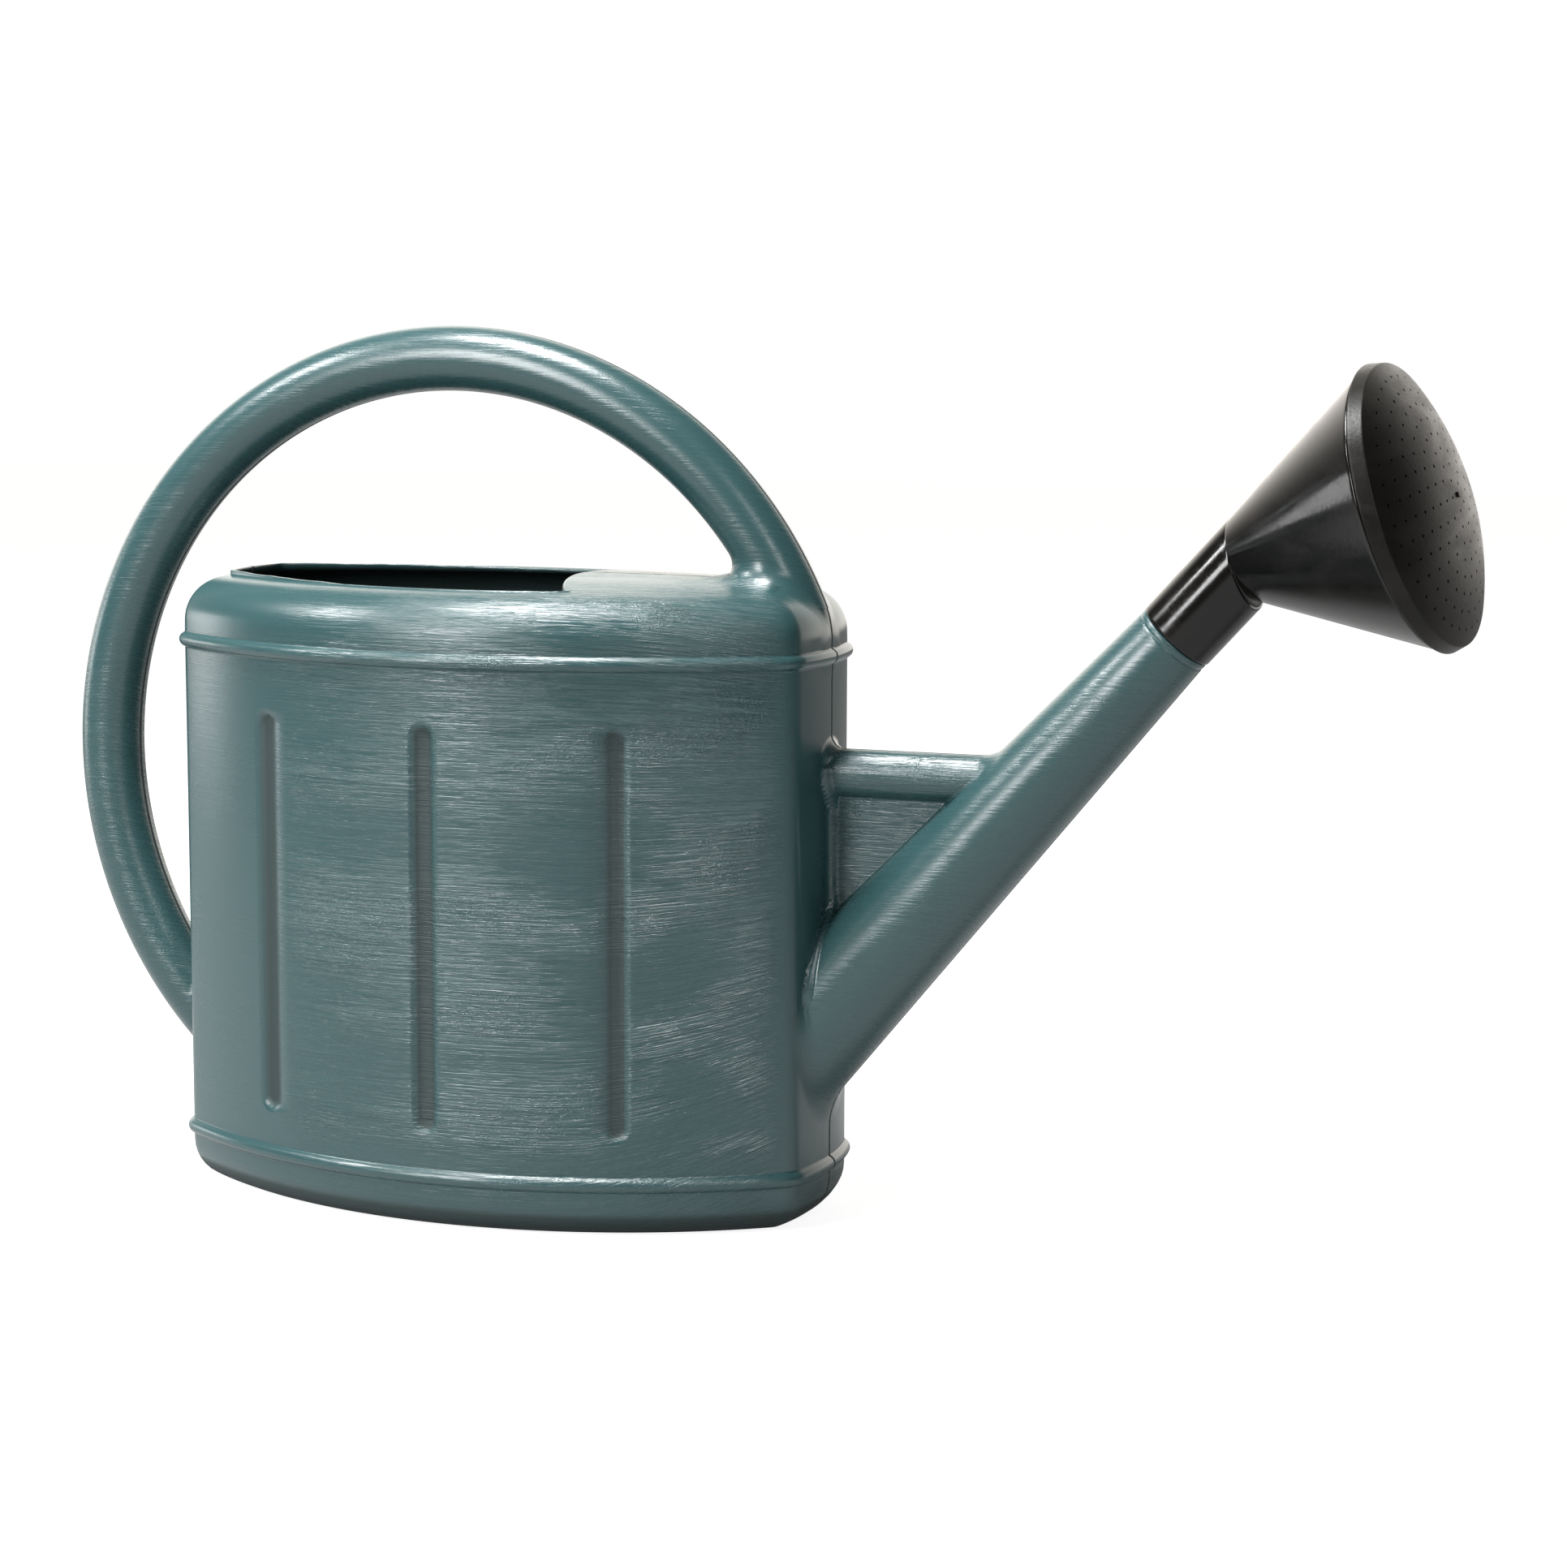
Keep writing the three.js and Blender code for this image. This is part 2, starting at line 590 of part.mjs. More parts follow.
/** The height of a dome of the plate's sphere over the skirt's front edge, at a distance from the axis. */
function domeHeight(distance, inset) {
  const radius = (PLATE_FRONT_RADIUS ** 2 + DOME_HEIGHT ** 2) / (2 * DOME_HEIGHT);
  return Math.sqrt((radius - inset) ** 2 - distance ** 2) - radius + DOME_HEIGHT;
}

/** The dome's profile between two distances from the axis, as [distance, z] pairs. */
function domeProfile(from, to, inset) {
  return Array.from({ length: DOME_STEPS + 1 }, (_, i) => {
    const distance = from + ((to - from) * i) / DOME_STEPS;
    return [distance, SKIRT_LENGTH + domeHeight(distance, inset)];
  });
}

/** The square-cut pins that leave the plate's holes, all in one solid. */
function holePins() {
  const pins = [];
  for (let ring = 1; ring <= HOLE_RINGS; ring++) {
    const count = HOLES_PER_RING * ring;
    const distance = HOLE_RING_SPACING * ring;
    for (let i = 0; i < count; i++) {
      const angle = (2 * Math.PI * i) / count;
      const pin = new THREE.CylinderGeometry(HOLE_RADIUS, HOLE_RADIUS, 4 * PLATE_WALL, HOLE_SIDES);
      pin.rotateX(Math.PI / 2).translate(distance, 0, SKIRT_LENGTH + domeHeight(distance, PLATE_WALL / 2));
      pins.push(pin.rotateZ(angle));
    }
  }
  return solidOf(mergeGeometries(pins));
}

/** The perforated plate: a low dome with a skirt that goes over the cone's seat. */
function rosePlate() {
  const bore = SEAT_RADIUS + GAP;
  const under = [...domeProfile(0, bore, PLATE_WALL), [bore, 0]];
  const skin = [[PLATE_RADIUS, 0], ...domeProfile(PLATE_FRONT_RADIUS, 0, 0)];
  const shell = turned([...under, ...skin], ROSE_SIDES);
  const top = SKIRT_LENGTH + DOME_HEIGHT;
  const half = NIB_SIZE / 2;
  const nib = block([-half, -half, top - PLATE_WALL / 2], [half, half, top + PLATE_WALL / 2]);
  const plate = join(shell, nib).subtract(holePins()).translate(0, 0, CONE_LENGTH + GAP);
  return placed(placed(plate, coneMatrix()), roseMatrix());
}

// ---------- Assembly ----------

/** One named piece. */
function piece(name, solid, material) {
  const mesh = new THREE.Mesh(geometryOf(solid), material);
  mesh.name = name;
  return mesh;
}

const canPlastic = new THREE.MeshStandardMaterial({ color: 0x0f4a4e, roughness: 0.38, metalness: 0 });
const roseBodyPlastic = new THREE.MeshStandardMaterial({ color: 0x0c0d0e, roughness: 0.28, metalness: 0 });
const rosePlatePlastic = new THREE.MeshStandardMaterial({ color: 0x0e0f10, roughness: 0.32, metalness: 0 });

const wateringCan = new THREE.Group();
wateringCan.add(
  piece("can_tank", canTank(), canPlastic),
  piece("can_handle", canHandle(), canPlastic),
  piece("can_spout", canSpout(), canPlastic),
  piece("can_strut", canStrut(), canPlastic),
  piece("rose_body", roseBody(), roseBodyPlastic),
  piece("rose_plate", rosePlate(), rosePlatePlastic),
);

export default wateringCan;
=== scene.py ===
"""Dresses a garden watering can: a blow-moulded can and a push-on rose of two black mouldings.

The can's skins are grids worked out from signed distances, so that the tank, the hoop handle, the spout,
the strut and the web run into one another with moulded fillets. Lengths are in metres.
"""

import logging
import math
from dataclasses import dataclass, field
from enum import Enum
from typing import Callable

import bpy
import numpy as np
from mathutils import Matrix, Vector


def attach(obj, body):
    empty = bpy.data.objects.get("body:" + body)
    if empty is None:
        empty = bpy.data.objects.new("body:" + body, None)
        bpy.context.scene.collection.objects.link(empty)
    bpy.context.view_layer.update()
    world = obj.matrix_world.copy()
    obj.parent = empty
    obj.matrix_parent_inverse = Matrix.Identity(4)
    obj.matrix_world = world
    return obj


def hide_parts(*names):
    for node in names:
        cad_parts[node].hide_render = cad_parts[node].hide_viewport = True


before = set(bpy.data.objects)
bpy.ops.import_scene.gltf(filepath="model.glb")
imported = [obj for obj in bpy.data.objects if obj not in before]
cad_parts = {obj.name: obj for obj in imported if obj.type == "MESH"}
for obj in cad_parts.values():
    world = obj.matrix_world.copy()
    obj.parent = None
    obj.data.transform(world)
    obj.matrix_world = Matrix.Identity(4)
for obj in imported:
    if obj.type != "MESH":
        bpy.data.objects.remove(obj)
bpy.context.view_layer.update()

MM = 0.001
CIRCLE = 2 * math.pi

log = logging.getLogger("watering_can")
Array = np.ndarray
Point = tuple[float, float, float]
Colour = tuple[float, float, float, float]
Pair = tuple[float, float]
Profile = list[Pair]
Socket = bpy.types.NodeSocket


# ---------- Numbers and curves ----------

GRADING_SAMPLES = 6001


def graded(low: float, high: float, coarse: float, fine: dict[float, Pair]) -> Array:
    """Places along a line, packed closer round some centres.

    The density of places is one over the coarse step and, round each centre, at least one over its fine step.
    The places are where the running sum of the density passes equal parts.

    Args:
        low: First place.
        high: Last place.
        coarse: Step away from the centres.
        fine: For each centre, its step and how far on both sides it reaches.

    Returns:
        The places in rising order, both ends included.
    """
    line = np.linspace(low, high, GRADING_SAMPLES)
    density = np.full_like(line, 1 / coarse)
    for centre, (step, reach) in fine.items():
        density = np.maximum(density, (np.abs(line - centre) < reach) / step)
    running = np.concatenate([[0], np.cumsum((density[1:] + density[:-1]) / 2 * np.diff(line))])
    count = max(int(round(running[-1])), 2)
    return np.interp(np.linspace(0, running[-1], count + 1), running, line)


def smooth_step(low: float, high: float, value: Array) -> Array:
    """Rises from 0 at low to 1 at high along 3t^2 - 2t^3."""
    t = np.clip((value - low) / (high - low), 0, 1)
    return t * t * (3 - 2 * t)


def smooth_union(a: Array, b: Array, radius: float | Array) -> Array:
    """Joins two signed distances with a round fillet: max(r, min(a, b)) less the length of (r - a, r - b)."""
    corner = np.hypot(np.maximum(radius - a, 0), np.maximum(radius - b, 0))
    return np.maximum(radius, np.minimum(a, b)) - corner


def smooth_cut(a: Array, b: Array, radius: float | Array) -> Array:
    """The part inside both of two signed distances, with its edge rounded."""
    return -smooth_union(-a, -b, radius)


def arc_radius(half_chord: float, height: float) -> float:
    """The radius of an arc with a half chord and a height."""
    return (half_chord**2 + height**2) / (2 * height)


def unit(vectors: Array) -> Array:
    """Vectors at length one, along the last axis."""
    return vectors / np.maximum(np.linalg.norm(vectors, axis=-1, keepdims=True), 1e-12)


def waves(points: Array, lengths: tuple[float, ...], seed: int) -> Array:
    """A smooth unevenness between about -1 and 1: the mean of a few sine waves in seeded directions.

    Args:
        points: Places, as rows.
        lengths: Wave lengths, two waves for each.
        seed: Seed of the directions and phases.

    Returns:
        One value for each place.
    """
    draw = np.random.default_rng(seed)
    total = np.zeros(len(points))
    for length in np.repeat(lengths, 2):
        way = unit(draw.normal(size=3))
        total += np.sin(points @ way * (CIRCLE / length) + draw.uniform(0, CIRCLE))
    return total / math.sqrt(2 * len(lengths))


def ring_angles(sides: int) -> Array:
    """The angles of a closed ring's corners."""
    return np.linspace(0, CIRCLE, sides + 1)[:-1]


def ring_ways(up: Array, turns: Array) -> Array:
    """The ways out of a ring at its angles, which run from up to the left side."""
    return up * np.cos(turns)[:, None] + np.array([0, 1.0, 0]) * np.sin(turns)[:, None]


# ---------- Meshes ----------


@dataclass
class Skin:
    """A grid of points on a surface, closed round its columns, with an end closed by a point or joined round.

    Rows run from the skin's start to its end. Seen from outside, columns run counter-clockwise about the way
    that the rows go, so that every face points outwards.
    """

    points: Array
    joined: bool = False

    def faces(self) -> tuple[Array, Array]:
        """Works out the quads between rows and, unless the ends are joined, the fans that close them.

        Returns:
            The quads and the triangles, as rows of vertex numbers.
        """
        rows, columns = self.points.shape[:2]
        grid = np.arange(rows * columns).reshape(rows, columns)
        low = grid if self.joined else grid[:-1]
        high = np.roll(grid, -1, 0)[: len(low)]
        quads = np.stack([low, np.roll(low, -1, 1), np.roll(high, -1, 1), high], -1).reshape(-1, 4)
        if self.joined:
            return quads, np.zeros((0, 3), int)
        start, end = rows * columns, rows * columns + 1
        first = np.stack([np.full(columns, start), np.roll(grid[0], -1), grid[0]], 1)
        last = np.stack([np.full(columns, end), grid[-1], np.roll(grid[-1], -1)], 1)
        return quads, np.concatenate([first, last])

    def vertices(self) -> Array:
        """All points in one list and, where ends are closed, the middles of the first and last rows.

        Returns:
            The points as rows.
        """
        flat = self.points.reshape(-1, 3)
        if self.joined:
            return flat
        return np.concatenate([flat, [self.points[0].mean(0), self.points[-1].mean(0)]])

    def normals(self) -> Array:
        """The grid's outward directions, from the cross product of the steps along columns and rows.

        Returns:
            One direction for each point of the grid.
        """
        around = np.roll(self.points, -1, 1) - np.roll(self.points, 1, 1)
        if self.joined:
            along = np.roll(self.points, -1, 0) - np.roll(self.points, 1, 0)
        else:
            along = np.gradient(self.points, axis=0)
        return unit(np.cross(around, along))


def add_mesh(
    name: str, vertices: Array, quads: Array, triangles: Array, normals: Array | None = None
) -> bpy.types.Object:
    """Puts arrays into a new smooth-shaded mesh object at the origin.

    Args:
        name: The object's name.
        vertices: Places, as rows.
        quads: Four-sided faces, as rows of vertex numbers.
        triangles: Three-sided faces, as rows of vertex numbers.
        normals: Directions for shading, with zero rows where the mesh's own are kept.

    Returns:
        The new object.
    """
    mesh = bpy.data.meshes.new(name)
    mesh.vertices.add(len(vertices))
    mesh.vertices.foreach_set("co", np.asarray(vertices, np.float32).ravel())
    corners = np.concatenate([quads.ravel(), triangles.ravel()]).astype(np.int32)
    sides = np.concatenate([np.full(len(quads), 4), np.full(len(triangles), 3)])
    mesh.loops.add(len(corners))
    mesh.loops.foreach_set("vertex_index", corners)
    mesh.polygons.add(len(sides))
    mesh.polygons.foreach_set("loop_start", np.concatenate([[0], np.cumsum(sides)[:-1]]).astype(np.int32))
    mesh.polygons.foreach_set("use_smooth", np.ones(len(sides), bool))
    mesh.update(calc_edges=True)
    mesh.validate()
    if normals is not None:
        mesh.normals_split_custom_set_from_vertices(normals.tolist())
    piece = bpy.data.objects.new(name, mesh)
    bpy.context.scene.collection.objects.link(piece)
    return piece


def read(items: bpy.types.bpy_prop_collection, name: str, width: int = 1, kind: type = np.float32) -> Array:
    """One attribute of every item of a mesh, in rows where its width is more than one.

    Args:
        items: The mesh's vertices, loops or polygons.
        name: The attribute.
        width: Its values for each item.
        kind: Its number type.

    Returns:
        The values.
    """
    values = np.empty(len(items) * width, kind)
    items.foreach_get(name, values)
    return values.reshape(-1, width) if width > 1 else values


def add_skin(name: str, skin: Skin, normals: Array | None = None) -> bpy.types.Object:
    """Makes a mesh object of a skin.

    Args:
        name: The object's name.
        skin: The skin.
        normals: Directions for shading, one for each of its points.

    Returns:
        The new object.
    """
    quads, triangles = skin.faces()
    if normals is not None and not skin.joined:
        normals = np.concatenate([normals, np.zeros((2, 3))])
    return add_mesh(name, skin.vertices(), quads, triangles, normals)


def report(piece: bpy.types.Object) -> None:
    """Logs a finished piece and its number of faces."""
    log.info("%s: %d faces", piece.name, len(piece.data.polygons))


# ---------- The can's forms as signed distances ----------


@dataclass
class Tank:
    """The tank: shallow side arcs and bowed ends in plan, rounded at its corners, base and shoulder."""

    wall: float = 1.8 * MM
    length: float = 305 * MM
    width: float = 172.6 * MM
    height: float = 279.6 * MM
    end_width: float = 69.4 * MM
    end_bow: float = 4.4 * MM
    corner_radius: float = 12 * MM
    inner_corner_radius: float = 5.5 * MM
    corner_ease: float = 4 * MM
    base_radius: float = 18.2 * MM
    shoulder_radius: float = 20.3 * MM
    shoulder_sweep: float = math.radians(82)
    deck_crown: float = 5 * MM
    crown_flatness: float = 8
    bead_height: float = 6.6 * MM
    bead_depth: float = 2.65 * MM
    bead_softness: float = 0.5 * MM
    bead_trace: float = 0.04 * MM
    bead_levels: Pair = (24.9 * MM, 251 * MM)
    groove_width: float = 12.4 * MM
    groove_depth: float = 2.4 * MM
    groove_flank: Pair = (0.35, 1.12)
    groove_bottom: float = 43.8 * MM
    groove_top: float = 224.3 * MM
    groove_places: tuple[float, ...] = (-88 * MM, -4 * MM, 80 * MM)
    mouth_inset: float = 22 * MM
    tongue_radius: float = 97.5 * MM
    tongue_round: float = 2.6 * MM
    lip_thickness: float = 2 * MM
    lip_rear: float = 282 * MM
    lip_slope: float = math.radians(1.1)
    lip_edge: float = 0.45 * MM
    # The skin: its rows and columns, closer ones as a step and its reach, and how far points may move.
    end_columns: int = 24
    corner_columns: int = 10
    side_column: float = 5 * MM
    groove_columns: Pair = (1.05 * MM, 8.5 * MM)
    base_rows: int = 10
    shoulder_rows: int = 17
    inner_shoulder_rows: int = 8
    inner_base_rows: int = 6
    row_step: float = 3 * MM
    inner_row_step: float = 9 * MM
    bead_rows: Pair = (0.42 * MM, 4.6 * MM)
    middle_level: float = 130 * MM
    middle_rows: Pair = (2 * MM, 88 * MM)
    groove_end_inset: float = 3 * MM
    groove_end_reach: float = 6 * MM
    groove_end_step: float = 1 * MM
    inner_groove_end_step: float = 1.5 * MM
    base_parts: tuple[float, ...] = (0.25, 0.5, 0.75, 0.9)
    floor_parts: Pair = (0.7, 0.35)
    reach: Pair = (0, 5.5 * MM)

    @property
    def side_radius(self) -> float:
        """The radius of a long side in plan."""
        return arc_radius(self.length / 2 - self.end_bow, (self.width - self.end_width) / 2)

    @property
    def end_radius(self) -> float:
        """The radius of a bowed end in plan."""
        return arc_radius(self.end_width / 2, self.end_bow)

    @property
    def side_centre(self) -> float:
        """Where the centre of the left side's arc lies, along Y."""
        return self.width / 2 - self.side_radius

    @property
    def end_centre(self) -> float:
        """Where the centre of the front end's arc lies, along X."""
        return self.length / 2 - self.end_radius

    @property
    def rim_inset(self) -> float:
        """How far the shoulder's upper edge is drawn in."""
        return self.shoulder_radius * (1 - math.cos(self.shoulder_sweep))

    @property
    def rim_height(self) -> float:
        """The height of the shoulder's upper edge."""
        return self.height - self.shoulder_radius * (1 - math.sin(self.shoulder_sweep))

    def corner(self, inset: Array) -> tuple[Array, Array, Array, Array, Array]:
        """Places the plan's corner arc at an inset, tangent to the side's and the end's arcs.

        The corner's radius shrinks with the inset and levels out softly at its least radius. Its centre lies
        where the circles round the side's and the end's centres meet.

        Args:
            inset: Insets, positive inwards.

        Returns:
            The corner's centre along X and Y, its radius, and the angles where it meets the end and the side.
        """
        least = self.inner_corner_radius
        radius = -smooth_union(inset - self.corner_radius, np.full_like(inset, -least), self.corner_ease)
        from_side = self.side_radius - inset - radius
        from_end = self.end_radius - inset - radius
        apart = math.hypot(self.end_centre, self.side_centre)
        along = (from_side**2 - from_end**2 + apart**2) / (2 * apart)
        off = np.sqrt(from_side**2 - along**2)
        x = (along * self.end_centre - off * self.side_centre) / apart
        y = self.side_centre - (along * self.side_centre + off * self.end_centre) / apart
        end_angle = np.arctan2(y, x - self.end_centre)
        side_angle = np.arctan2(y - self.side_centre, x)
        return x, y, radius, end_angle, side_angle

    def columns(self) -> tuple[Array, Array]:
        """Lays out the columns of the left half, from the middle of the front to the middle of the rear.

        Returns:
            The segment of each column (0 front end, 1 corner, 2 side, 3 corner, 4 rear end), and its part
            along it.
        """
        reach = self.length / 2 - self.corner_radius
        grooves = {place: self.groove_columns for place in self.groove_places}
        side = (reach - graded(-reach, reach, self.side_column, grooves)[::-1]) / (2 * reach)
        end = np.linspace(0, 1, self.end_columns + 1)
        corner = np.linspace(0, 1, self.corner_columns + 1)[:-1]
        parts = [end[:-1], corner, side[:-1], corner, end]
        segment = np.concatenate([np.full(len(part), i) for i, part in enumerate(parts)])
        return segment, np.concatenate(parts)

    def outline(self, inset: Array) -> Array:
        """The whole plan at each of some insets: arcs of side, corner and end, mirrored to the right.

        Args:
            inset: One inset for each row.

        Returns:
            The points as rows, columns and (x, y), running counter-clockwise from the middle of the front.
        """
        inset = np.asarray(inset, float)[:, None]
        segment, part = self.columns()
        x, y, radius, end_angle, side_angle = self.corner(inset)
        starts = [0 * end_angle, end_angle, side_angle, math.pi - side_angle, math.pi - end_angle]
        ends = [end_angle, side_angle, math.pi - side_angle, math.pi - end_angle, 0 * end_angle + math.pi]
        centre_x = [0 * x + self.end_centre, x, 0 * x, -x, 0 * x - self.end_centre]
        centre_y = [0 * x, y, 0 * x + self.side_centre, y, 0 * x]
        radii = [self.end_radius - inset, radius, self.side_radius - inset, radius, self.end_radius - inset]

        def pick(values: list[Array]) -> Array:
            """Gives each column the value of its own segment."""
            return np.concatenate(values, axis=1)[:, segment]

        angle = pick(starts) + (pick(ends) - pick(starts)) * part
        left_x = pick(centre_x) + pick(radii) * np.cos(angle)
        left_y = pick(centre_y) + pick(radii) * np.sin(angle)
        left = np.stack([left_x, left_y], -1)
        right = left[:, -2:0:-1] * np.array([1, -1])
        return np.concatenate([left, right], axis=1)

    def deck_height(self, x: Array, y: Array) -> Array:
        """The deck's crown: a parabola across, level along the can until it drops near the ends.

        Args:
            x: Places along the can.
            y: Places across it.

        Returns:
            Heights.
        """
        reach = self.side_radius - self.rim_inset
        edge = np.sqrt(reach**2 - np.minimum(np.abs(x), self.length / 2) ** 2) + self.side_centre
        across = np.clip(np.abs(y) / np.maximum(edge, MM), 0, 1)
        along = np.clip(np.abs(x) / (self.length / 2 - self.rim_inset), 0, 1)
        return self.rim_height + self.deck_crown * (1 - across**2) * (1 - along**self.crown_flatness)

    def bead(self, z: Array) -> Array:
        """How far the beads stand out at a height, each a round one with small fillets at the wall.

        Args:
            z: Heights.

        Returns:
            How far the wall stands out there.
        """
        radius = arc_radius(self.bead_height / 2, self.bead_depth)
        out = np.zeros_like(z)
        for level in self.bead_levels:
            away = np.minimum(np.abs(z - level), radius)
            rise = np.sqrt(radius**2 - away**2) - radius + self.bead_depth
            out = np.maximum(out, (rise + np.hypot(rise, self.bead_softness)) / 2)
        return np.where(out > self.bead_trace, out, 0)

    def groove(self, x: Array, z: Array) -> Array:
        """How deep the grooves are at a place on a side.

        The distance to a groove's middle line makes a trough of a round section with softened edges and ends.

        Args:
            x: Places along the side.
            z: Their heights.

        Returns:
            How far the side is pressed in there.
        """
        half = self.groove_width / 2
        lean = np.arcsin(np.clip(x / self.side_radius, -1, 1))
        deep = np.zeros_like(x)
        beyond = np.maximum(np.maximum(z - self.groove_top + half, self.groove_bottom + half - z), 0)
        for place in self.groove_places:
            along = self.side_radius * (lean - math.asin(place / self.side_radius))
            away = np.hypot(along, beyond) / half
            deep = np.maximum(deep, self.groove_depth * (1 - smooth_step(*self.groove_flank, away)))
        return deep

    def front_distance(self, points: Array) -> Array:
        """Signed distance in plan from the tank's ends, sides and rounded corners.

        Args:
            points: Places, as rows.

        Returns:
            Distances, below zero inside.
        """
        x, y = np.abs(points[:, 0]), np.abs(points[:, 1])
        end = np.hypot(x - self.end_centre, y) - self.end_radius
        side = np.hypot(x, y - self.side_centre) - self.side_radius
        place = self.corner(np.zeros(()))
        corner_x, corner_y, radius, end_angle, side_angle = (float(value) for value in place)
        angle = np.arctan2(y - corner_y, x - corner_x)
        corner = np.hypot(x - corner_x, y - corner_y) - radius
        return np.where((angle > end_angle) & (angle < side_angle), corner, np.maximum(end, side))

    def outward(self, points: Array) -> Array:
        """The direction straight out of the tank near its ends.

        Args:
            points: Places, as rows.

        Returns:
            One direction for each place.
        """
        side = self.front_distance(points) + self.shoulder_radius
        top = points[:, 2] - self.height + self.shoulder_radius
        ahead = np.stack([np.abs(points[:, 0]) - self.end_centre, np.abs(points[:, 1])], -1)
        ahead = unit(ahead) * np.sign(points[:, :2]) * np.maximum(side, 0.1 * MM)[:, None]
        return unit(np.concatenate([ahead, np.maximum(top, 0)[:, None]], -1))

    def distance(self, points: Array) -> Array:
        """Signed distance from the tank near its ends: a rounded edge between the end's face and the deck.

        Args:
            points: Places, as rows.

        Returns:
            Distances, below zero inside.
        """
        side = self.front_distance(points) - self.bead(points[:, 2]) + self.shoulder_radius
        top = points[:, 2] - self.height + self.shoulder_radius
        rounded = np.hypot(np.maximum(side, 0), np.maximum(top, 0)) + np.minimum(np.maximum(side, top), 0)
        rounded = rounded - self.shoulder_radius
        over_deck = points[:, 2] - self.deck_height(points[:, 0], points[:, 1])
        return np.where(top > side * math.tan(self.shoulder_sweep), over_deck, rounded)


@dataclass
class Hoop:
    """The hoop handle: a round bar bent to a half ellipse and more, from the deck to the rear wall."""

    tank: Tank
    centre_x: float = -27.7 * MM
    centre_z: float = 197.1 * MM
    half_length: float = 178.45 * MM
    half_height: float = 181.2 * MM
    radius: float = 14.4 * MM
    front_bury: float = 26 * MM
    rear_bury: float = 16 * MM
    trim_edge: float = 2.5 * MM
    newton_steps: int = 3
    # The skin: its grid, where it starts and ends, and how far its points may move.
    sides: int = 72
    inner_rows: int = 40
    front_sink: float = 7 * MM
    rear_sink: float = 1.4 * MM
    row_step: float = 4 * MM
    front_rows: Pair = (1.2 * MM, 48 * MM)
    rear_rows: Pair = (1.2 * MM, 36 * MM)
    front_level_run: float = 60 * MM
    rear_level_run: float = 50 * MM
    flush_edge: float = 1.2 * MM
    leg_from: float = 60 * MM
    leg_top: float = 330 * MM
    reach: Pair = (-24 * MM, 14 * MM)

    @property
    def front_angle(self) -> float:
        """The ellipse's angle where the bar's middle line passes the deck."""
        return math.asin((self.tank.height - self.centre_z) / self.half_height)

    @property
    def rear_angle(self) -> float:
        """The ellipse's angle where the bar's middle line passes the rear wall."""
        return CIRCLE - math.acos((-self.tank.length / 2 - self.centre_x) / self.half_length)

    def middle(self, angle: Array) -> Array:
        """Points of the bar's middle line."""
        x = self.centre_x + self.half_length * np.cos(angle)
        z = self.centre_z + self.half_height * np.sin(angle)
        return np.stack([x, np.zeros_like(x), z], -1)

    def outward(self, angle: Array) -> Array:
        """The ellipse's outward direction."""
        x, z = self.half_height * np.cos(angle), self.half_length * np.sin(angle)
        return unit(np.stack([x, np.zeros_like(x), z], -1))

    def nearest(self, points: Array) -> Array:
        """The ellipse's angle nearest to each point, by a few Newton steps from its direction.

        Args:
            points: Places, as rows.

        Returns:
            One angle for each place.
        """
        x, z = points[:, 0] - self.centre_x, points[:, 2] - self.centre_z
        angle = np.arctan2(z / self.half_height, x / self.half_length)
        for _ in range(self.newton_steps):
            c, s = np.cos(angle), np.sin(angle)
            away_x, away_z = self.half_length * c - x, self.half_height * s - z
            slope = -away_x * self.half_length * s + away_z * self.half_height * c
            bend = (self.half_length * s) ** 2 + (self.half_height * c) ** 2
            bend -= away_x * self.half_length * c + away_z * self.half_height * s
            angle = angle - slope / bend
        angle = np.mod(angle, CIRCLE)
        low = self.front_angle - self.front_bury / self.half_length
        return np.clip(angle, low, self.rear_angle + self.rear_bury / self.half_length)

    def distance(self, points: Array) -> Array:
        """Signed distance from the bar, whose front leg is trimmed flush with the front of the tank."""
        bar = np.linalg.norm(points - self.middle(self.nearest(points)), axis=1) - self.radius
        return self.trimmed(bar, points)

    def trimmed(self, bar: Array, points: Array) -> Array:
        """Cuts the bar's distance by the tank's front face with a softly rounded edge."""
        cut = smooth_cut(bar, self.tank.front_distance(points), self.trim_edge)
        return np.where(points[:, 0] > 0, cut, bar)


